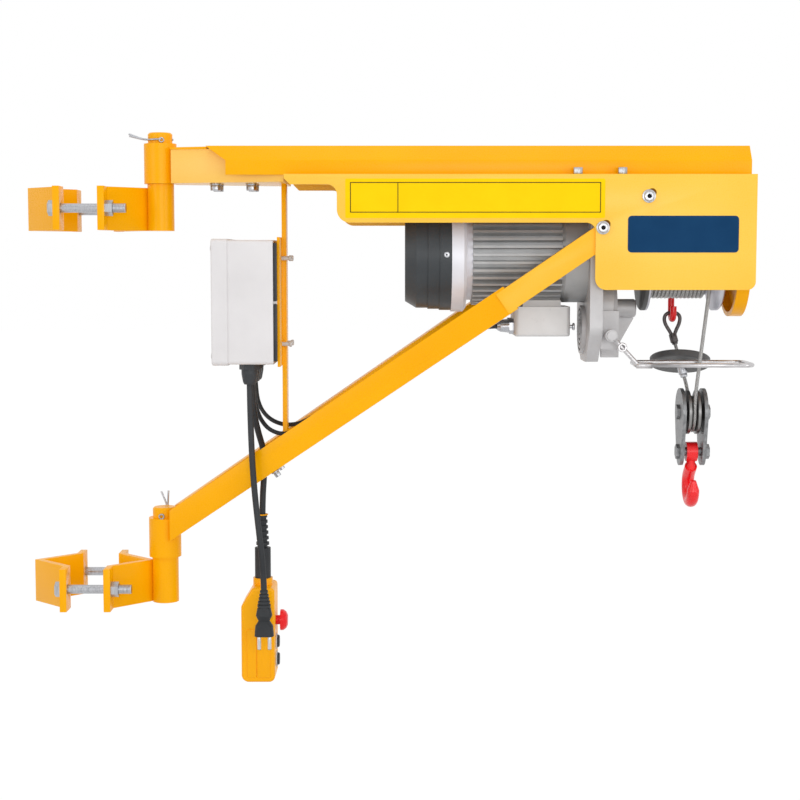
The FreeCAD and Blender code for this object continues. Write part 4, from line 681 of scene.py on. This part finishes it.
def frame_bolts():
    """Hexagon bolts of the arm, the shelves and the struts."""
    bm = bmesh.new()
    for x in ROOT_BOLT_XS:
        for side in SIDES:
            seat = place(x, side * ROOT_BOLT_SIDE, ROOT_UNDERSIDE)
            add_disc(bm, seat, -Z_AXIS, diameter=15.5, height=ROOT_WASHER)
            add_hex(bm, along(seat, -Z_AXIS, ROOT_WASHER), -Z_AXIS, flats=12.5, height=7.5)
    for x in SHELF_BOLT_XS:
        for side in SIDES:
            add_hex(bm, place(x, side * SHELF_BOLT_SIDE, SHELF_TOP), Z_AXIS, flats=11.5, height=9.0)
    under = Vector((math.sin(STRUT_SLOPE), 0, -math.cos(STRUT_SLOPE)))
    for side in SIDES:
        foot = place(STRUT_BOLT_X, side * STRUT_BOLT_SIDE, STRUT_FOOT_Z)
        middle = along(foot, Z_AXIS, STRUT_BOLT_X * math.tan(STRUT_SLOPE))
        seat = along(middle, under, STRUT_HALF_DEPTH)
        add_disc(bm, seat, under, diameter=12.0, height=STRUT_WASHER)
        add_hex(bm, along(seat, under, STRUT_WASHER), under, flats=8.0, height=7.0)
    finish_piece(bm, "frame_bolts", ZINC, "jib")


def hanger_studs():
    """Pale studs that hold the control box's plate beside the hanger bar."""
    bm = bmesh.new()
    for z in STUD_LEVELS:
        for side in SIDES:
            seat = place(HANGER_PLATE_X, side * STUD_SIDE, z)
            add_disc(bm, seat, X_AXIS, diameter=5.5, height=14.0, edge=0.4, sides=24)
            add_disc(bm, along(seat, X_AXIS, STUD_HEAD), X_AXIS, diameter=8.0, height=4.2, edge=1.4, sides=24)
    finish_piece(bm, "hanger_studs", PALE_CAP, "jib")


def hanger_gap_shadows():
    """Dark blocks between the control box and its plate: painted shade in the gap."""
    bm = bmesh.new()
    for top, bottom in GAP_SHADOW_SPANS:
        add_bar(bm, (BOX_BACK_X, -GAP_SHADOW_HALF_WIDTH, bottom), (HANGER_PLATE_X, GAP_SHADOW_HALF_WIDTH, top), edge=0.8)
    finish_piece(bm, "hanger_gap_shadows", DARK_PLASTIC_AND_GAP_SHADE, "jib")


def panel_screws():
    """Socket screws in slots of the side panels. Dark hexagons in their recesses and brown discs on the slots
    beside them are painted shade.
    """
    bm = bmesh.new()
    dark = bmesh.new()
    slot_shadows = bmesh.new()
    for x, z in PANEL_SCREW_SPOTS:
        for side in SIDES:
            out = Y_AXIS * side
            seat = place(x, PANEL_FACE * side, z)
            # Brown disc above and right of each screw: painted shadow in its slot.
            slot = place(x + SLOT_SHADOW_SHIFT_X, PANEL_FACE * side, z + SLOT_SHADOW_SHIFT_Z)
            add_disc(bm, seat, out, diameter=17.5, height=PANEL_WASHER)
            add_socket_screw(bm, along(seat, out, PANEL_WASHER), out, diameter=13.5, height=5.0, key=6.0)
            # Dark hexagon at the bottom of each socket: painted shade.
            add_disc(dark, along(seat, out, RECESS_LEVEL), out, diameter=6.6, height=0.5, edge=0.1, sides=6)
            add_disc(slot_shadows, slot, out, diameter=11.0, height=0.3, edge=0.1)
    finish_piece(bm, "panel_screws", ZINC, "jib")
    finish_piece(dark, "panel_screw_recess_shade", BLACK_PRINT_AND_RECESS_SHADE, "jib")
    finish_piece(slot_shadows, "panel_slot_shadows", SLOT_SHADE, "jib")


def pivot_clips():
    """Split pins through the tops of both pivot pins, with their legs bent apart."""
    wire_piece("upper_pivot_clip", UPPER_CLIP, CLIP_WIRE, ZINC, "column_clamps")
    wire_piece("lower_pivot_clip", LOWER_CLIP, CLIP_WIRE, ZINC, "column_clamps")
    bm = bmesh.new()
    add_ring(bm, place(*UPPER_EYE), Y_AXIS, radius=2.8, wire=2.0, steps=24)
    add_ring(bm, place(*LOWER_EYE), Y_AXIS, radius=3.2, wire=2.2, steps=24)
    finish_piece(bm, "pivot_clip_eyes", ZINC, "column_clamps")


# Film and plate on the near panel

FILM_LOW = (254, -14)
FILM_HIGH = (592, 37)
PRINT_BACK = -97.2
PRINT_FRONT = -97.45
PRINT_LEFT = 260.3
PRINT_DIVIDER = 322.0
PRINT_RIGHT = 585.4
PRINT_BOTTOM = -6.9
PRINT_TOP = 32.4
PRINT_LINE = 1.0
PLATE_LOW = (622, -58.7)
PLATE_HIGH = (766.5, -11)


def rounded_plate(bm, low, high, radius, thickness):
    """A thin plate on the near panel's face, with rounded corners, from (x, z) corners."""
    spots = [(low[0], low[1]), (high[0], low[1]), (high[0], high[1]), (low[0], high[1])]
    verts = [bm.verts.new(place(x, -PANEL_FACE, z)) for x, z in spots]
    bm.faces.new(verts)
    bmesh.ops.bevel(bm, geom=verts, offset=radius * MM, segments=6, profile=0.5, affect="VERTICES",
                    material=-1)
    face = max(bm.faces, key=lambda each: each.calc_area())
    raise_face(bm, face, -Y_AXIS * (thickness * MM))


def panel_film():
    """A plain film with a thin printed frame and one divider."""
    bm = bmesh.new()
    rounded_plate(bm, FILM_LOW, FILM_HIGH, radius=2.0, thickness=0.25)
    finish_piece(bm, "panel_film", YELLOW_FILM, "jib")
    bars = bmesh.new()
    for x in (PRINT_LEFT, PRINT_DIVIDER, PRINT_RIGHT):
        add_bar(bars, (x, PRINT_FRONT, PRINT_BOTTOM), (x + PRINT_LINE, PRINT_BACK, PRINT_TOP))
    for z in (PRINT_BOTTOM, PRINT_TOP - PRINT_LINE):
        add_bar(bars, (PRINT_LEFT, PRINT_FRONT, z), (PRINT_RIGHT, PRINT_BACK, z + PRINT_LINE))
    finish_piece(bars, "panel_film_frame", BLACK_PRINT_AND_RECESS_SHADE, "jib")


def panel_plate():
    """A plain dark plate with rounded corners."""
    bm = bmesh.new()
    rounded_plate(bm, PLATE_LOW, PLATE_HIGH, radius=5.0, thickness=0.5)
    finish_piece(bm, "panel_plate", BLUE_FILM, "jib")


# Winch

WIND_PITCH = 5.3
WIND_RADIUS = 2.6
WIND_INSET = 2.5
WIND_STEPS = 44
COIL_X = 619
COIL_Y = -79.0
COIL_Z = -183.5
COIL_OFFSET = 1.7
DRUM_FLANGE_X = 658.5
LEVER_HUB_X = 613.5
EYE_FOOT = (708, 61, -169.4)
BLOCK_ROPE = (729, 39.5, -254)
ROPE_EYE = [
    (710, 60.2, -177), (704.5, 60.6, -168), (697.6, 61, -157), (696.6, 61, -147.5), (702, 61, -142.2),
    (708, 61, -142.2), (714, 61, -142.2), (719.4, 61, -147.5), (718.4, 61, -157), (713, 60.6, -168),
    (710.4, 60.2, -177)]
ROPE_EYE_WIRE = 5.2
CRIMP_START = 2.5
CRIMP_TAIL = 15.0
FERRULE_START = 47.0
FERRULE_TAIL = 61.5


def wound_rope():
    """The rope's turns on the drum as one helix."""
    low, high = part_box("drum_rope")
    axis_z = (low.z + high.z) / 2
    pitch = WIND_PITCH * MM
    turns = int(round((high.x - low.x) / pitch))
    radius = high.z - axis_z - WIND_INSET * MM
    start = Vector((low.x + pitch / 2, 0, axis_z + radius))
    bm = bmesh.new()
    verts = bmesh.ops.create_circle(bm, cap_ends=True, segments=WIRE_SIDES, radius=WIND_RADIUS * MM,
                                    matrix=Matrix.Translation(start) @ aim(Y_AXIS))["verts"]
    bmesh.ops.spin(bm, geom=verts + edges_of(verts), cent=Vector((low.x, 0, axis_z)), axis=X_AXIS,
                   dvec=X_AXIS * (pitch / WIND_STEPS), angle=FULL_TURN * turns, steps=WIND_STEPS * turns)
    bmesh.ops.remove_doubles(bm, verts=bm.verts, dist=0.001 * MM)
    piece = finish_piece(bm, "wound_rope", WOUND_ROPE, "jib", sharp=60.0)
    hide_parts("drum_rope")


def lever_coil():
    """The wound eye where the lever's arm is bent, made of the same rod."""
    bm = bmesh.new()
    for side in SIDES:
        add_ring(bm, place(COIL_X, COIL_Y + side * COIL_OFFSET, COIL_Z), Y_AXIS, radius=4.6, wire=3.4)
    finish_piece(bm, "lever_coil", LEVER_STEEL, "lever")


def winch_fittings():
    """The drum with its dark left flange, and the lever with its cast hub."""
    two_tone("drum", [DARK_IRON, DRUM_STEEL], "jib", DRUM_FLANGE_X)
    two_tone("limit_lever", [GEAR_CASTING, LEVER_STEEL], "lever", LEVER_HUB_X)


def rope_end():
    """The rope's drop-shaped eye with its crimp, and the bright ferrule under the weight."""
    foot = place(*EYE_FOOT)
    fall = (place(*BLOCK_ROPE) - foot).normalized()
    eye = wire_piece("rope_eye", [ROPE_EYE], ROPE_EYE_WIRE, DARK_FERRULE, "jib")
    bm = bmesh.new()
    add_disc(bm, along(foot, fall, CRIMP_START), fall, diameter=11.0, height=13.0, edge=1.4)
    add_disc(bm, along(foot, fall, CRIMP_TAIL), fall, diameter=8.0, height=3.0, edge=0.6)
    crimp = finish_piece(bm, "rope_crimp", DARK_FERRULE, "jib")
    bm = bmesh.new()
    add_disc(bm, along(foot, fall, FERRULE_START), fall, diameter=12.5, height=15.0, edge=0.8)
    add_disc(bm, along(foot, fall, FERRULE_TAIL), fall, diameter=10.0, height=5.0, edge=0.8)
    ferrule = finish_piece(bm, "rope_ferrule", ZINC, "jib")
    for piece in (eye, crimp, ferrule):
        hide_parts("rope_fittings")


# Motor, control box and pendant

FAN_SCREW_ANGLES = (90, 210, 330)
FAN_SCREW_X = 387
MOTOR_AXIS_Z = -61.5
FAN_COVER_RADIUS = 74.4
FAN_RECESS = 1.5
TERMINAL_FACE_X = 554
TERMINAL_SCREW_SIDE = 30.0
TERMINAL_SCREW_Z = -158
TERMINAL_STEM = 4.0
LID_FACE_X = 75
LID_CAP_X = 74.2
LID_SCREW_SIDE = 62.0
LID_SCREW_LEVELS = (-53.0, -196.0)
BUTTON_LEVELS = (-597.0, -622.0)
BUTTON_RING_X = 153.4
GRIP_SPANS = ((115.0, 127.8), (128.8, 147.0))
GRIP_ROOT = 29.6
GRIP_FACE = 32.2
GRIP_BOTTOM = -641.0
GRIP_TOP = -574.0
BOOT_TOP = (135, 0, -419)
PLUG_X = 141.5
PLUG_Y = -62
PIN_TOP = -575
PIN_SPREAD = 7.0


def motor_fittings():
    """Screws of the fan cover and the terminal box. Dark hexagons on the fan screws' heads are painted shade
    of their recesses.
    """
    bm = bmesh.new()
    dark = bmesh.new()
    for degrees in FAN_SCREW_ANGLES:
        turn = math.radians(degrees)
        out = Vector((0, -math.sin(turn), math.cos(turn)))
        seat = along(place(FAN_SCREW_X, 0, MOTOR_AXIS_Z), out, FAN_COVER_RADIUS)
        add_disc(bm, seat, out, diameter=7.5, height=1.6)
        # Dark hexagon on each fan screw's head: painted shade of its recess.
        add_disc(dark, along(seat, out, FAN_RECESS), out, diameter=2.6, height=0.3, edge=0.1, sides=6)
    for side in SIDES:
        seat = place(TERMINAL_FACE_X, side * TERMINAL_SCREW_SIDE, TERMINAL_SCREW_Z)
        add_disc(bm, seat, X_AXIS, diameter=5.0, height=TERMINAL_STEM)
        add_disc(bm, along(seat, X_AXIS, TERMINAL_STEM), X_AXIS, diameter=10.0, height=3.0, edge=1.0)
    finish_piece(bm, "motor_screws", ZINC, "jib")
    finish_piece(dark, "motor_screw_recess_shade", BLACK_PRINT_AND_RECESS_SHADE, "jib")


def box_fittings():
    """Lid screws of the control box."""
    bm = bmesh.new()
    for side in SIDES:
        for z in LID_SCREW_LEVELS:
            add_disc(bm, place(LID_FACE_X, side * LID_SCREW_SIDE, z), -X_AXIS, diameter=9.0, height=1.0)
            add_disc(bm, place(LID_CAP_X, side * LID_SCREW_SIDE, z), -X_AXIS, diameter=6.0, height=0.6)
    finish_piece(bm, "box_lid_screws", PALE_CAP, "jib")


def pendant_fittings():
    """Rings round the push buttons, raised grips on the pendant's sides and the collar of its boot."""
    bm = bmesh.new()
    for z in BUTTON_LEVELS:
        add_ring(bm, place(BUTTON_RING_X, 0, z), X_AXIS, radius=10.2, wire=2.2)
    finish_piece(bm, "button_rings", PALE_CAP, "jib")
    grip = bmesh.new()
    for side in SIDES:
        near, far = sorted((GRIP_ROOT * side, GRIP_FACE * side))
        for left, right in GRIP_SPANS:
            add_bar(grip, (left, near, GRIP_BOTTOM), (right, far, GRIP_TOP), edge=0.9)
    finish_piece(grip, "pendant_grips", PENDANT_SHELL, "jib")
    collar = bmesh.new()
    add_ring(collar, place(*BOOT_TOP), Z_AXIS, radius=7.0, wire=1.8)
    finish_piece(collar, "boot_collar", PENDANT_SHELL, "jib")


def plug_pins():
    """Bright pins over the plug's moulded ones."""
    bm = bmesh.new()
    for side in SIDES:
        top = place(PLUG_X + side * PIN_SPREAD, PLUG_Y, PIN_TOP)
        add_disc(bm, top, -Z_AXIS, diameter=5.0, height=19.3, edge=1.0, sides=24)
    finish_piece(bm, "plug_pins", PLUG_PIN, "jib")


# Stage, light and camera, with the floor and lamps in metres

FILL_LIGHT = 0.84
BACKDROP_LIGHT = 1.0
FLOOR_SIZE = 20.0
FLOOR_Z = -1.05
PAPER_GREY = 0.72
PAPER_GLOW = 1.075
GLOW_SHARE = 0.86
# Name, place, target, width, height and power of each lamp
SOFTBOXES = (
    ("front softbox", (0.67, -2.35, 0.02), (0.62, 0, -0.02), 1.3, 0.55, 9.0),
    ("left softbox", (-1.62, -1.75, 0.22), (0.1, 0, 0.05), 1.0, 1.0, 6.0),
    ("right softbox", (2.3, -1.75, 0.1), (0.4, 0, -0.1), 1.0, 1.0, 7.0),
    ("top softbox", (0.4, -0.5, 2.0), (0.4, 0, 0.0), 1.6, 1.2, 5.0))
CAMERA_SPOT = place(325.2, -2191.6, -68.4)
CAMERA_DIP = math.atan(140 / 1600)


def background_rays(tree):
    """1 for rays that see the backdrop directly, in a mirror or through glass."""
    path = tree.nodes.new("ShaderNodeLightPath")
    first = tree.nodes.new("ShaderNodeMath")
    first.operation = "MAXIMUM"
    second = tree.nodes.new("ShaderNodeMath")
    second.operation = "MAXIMUM"
    tree.links.new(path.outputs["Is Camera Ray"], first.inputs[0])
    tree.links.new(path.outputs["Is Glossy Ray"], first.inputs[1])
    tree.links.new(first.outputs[0], second.inputs[0])
    tree.links.new(path.outputs["Is Transmission Ray"], second.inputs[1])
    return second.outputs[0]


def white_world(scene):
    """A white surround that lights the part a little less than it shows."""
    world = bpy.data.worlds.new("studio")
    world.use_nodes = True
    scene.world = world
    tree = world.node_tree
    backdrop = tree.nodes["Background"]
    backdrop.inputs["Color"].default_value = (1, 1, 1, 1)
    level = tree.nodes.new("ShaderNodeMapRange")
    level.inputs["To Min"].default_value = FILL_LIGHT
    level.inputs["To Max"].default_value = BACKDROP_LIGHT
    tree.links.new(background_rays(tree), level.inputs["Value"])
    tree.links.new(level.outputs["Result"], backdrop.inputs["Strength"])


def studio_paper():
    """Matt paper that glows white to the camera."""
    paper = bpy.data.materials.new("studio paper")
    paper.use_nodes = True
    tree = paper.node_tree
    tree.nodes.remove(tree.nodes["Principled BSDF"])
    matt = tree.nodes.new("ShaderNodeBsdfDiffuse")
    matt.inputs["Color"].default_value = (PAPER_GREY, PAPER_GREY, PAPER_GREY, 1)
    glow = tree.nodes.new("ShaderNodeEmission")
    glow.inputs["Strength"].default_value = PAPER_GLOW
    mix = tree.nodes.new("ShaderNodeMixShader")
    share = tree.nodes.new("ShaderNodeMath")
    share.operation = "MULTIPLY"
    share.inputs[1].default_value = GLOW_SHARE
    tree.links.new(background_rays(tree), share.inputs[0])
    tree.links.new(share.outputs[0], mix.inputs["Fac"])
    tree.links.new(matt.outputs[0], mix.inputs[1])
    tree.links.new(glow.outputs[0], mix.inputs[2])
    tree.links.new(mix.outputs[0], tree.nodes["Material Output"].inputs["Surface"])
    return paper


def paper_floor(scene):
    bm = bmesh.new()
    bmesh.ops.create_grid(bm, x_segments=1, y_segments=1, size=FLOOR_SIZE,
                          matrix=Matrix.Translation((0, 0, FLOOR_Z)))
    mesh = bpy.data.meshes.new("floor")
    bm.to_mesh(mesh)
    bm.free()
    floor = bpy.data.objects.new("floor", mesh)
    scene.collection.objects.link(floor)
    mesh.materials.append(studio_paper())


def softboxes(scene):
    for name, spot, target, width, height, power in SOFTBOXES:
        lamp = bpy.data.lights.new(name, "AREA")
        lamp.shape = "RECTANGLE"
        lamp.size = width
        lamp.size_y = height
        lamp.energy = power
        obj = bpy.data.objects.new(name, lamp)
        obj.location = spot
        obj.rotation_euler = (Vector(target) - Vector(spot)).to_track_quat("-Z", "Y").to_euler()
        scene.collection.objects.link(obj)


def set_camera(scene):
    camera = bpy.data.cameras.new("camera")
    camera.sensor_width = 36.0
    camera.lens = 72.0
    camera.clip_end = 100.0
    eye = bpy.data.objects.new("camera", camera)
    eye.location = CAMERA_SPOT
    eye.rotation_euler = (math.radians(90) - CAMERA_DIP, 0, 0)
    scene.collection.objects.link(eye)
    scene.camera = eye


def studio():
    scene = bpy.context.scene
    scene.view_settings.view_transform = "Standard"
    white_world(scene)
    paper_floor(scene)
    softboxes(scene)
    set_camera(scene)


dress_nodes()
cords()
steelwork()
root_cover()
clamp_hardware()
frame_bolts()
hanger_studs()
hanger_gap_shadows()
panel_screws()
pivot_clips()
panel_film()
panel_plate()
wound_rope()
lever_coil()
winch_fittings()
rope_end()
motor_fittings()
box_fittings()
pendant_fittings()
plug_pins()
studio()
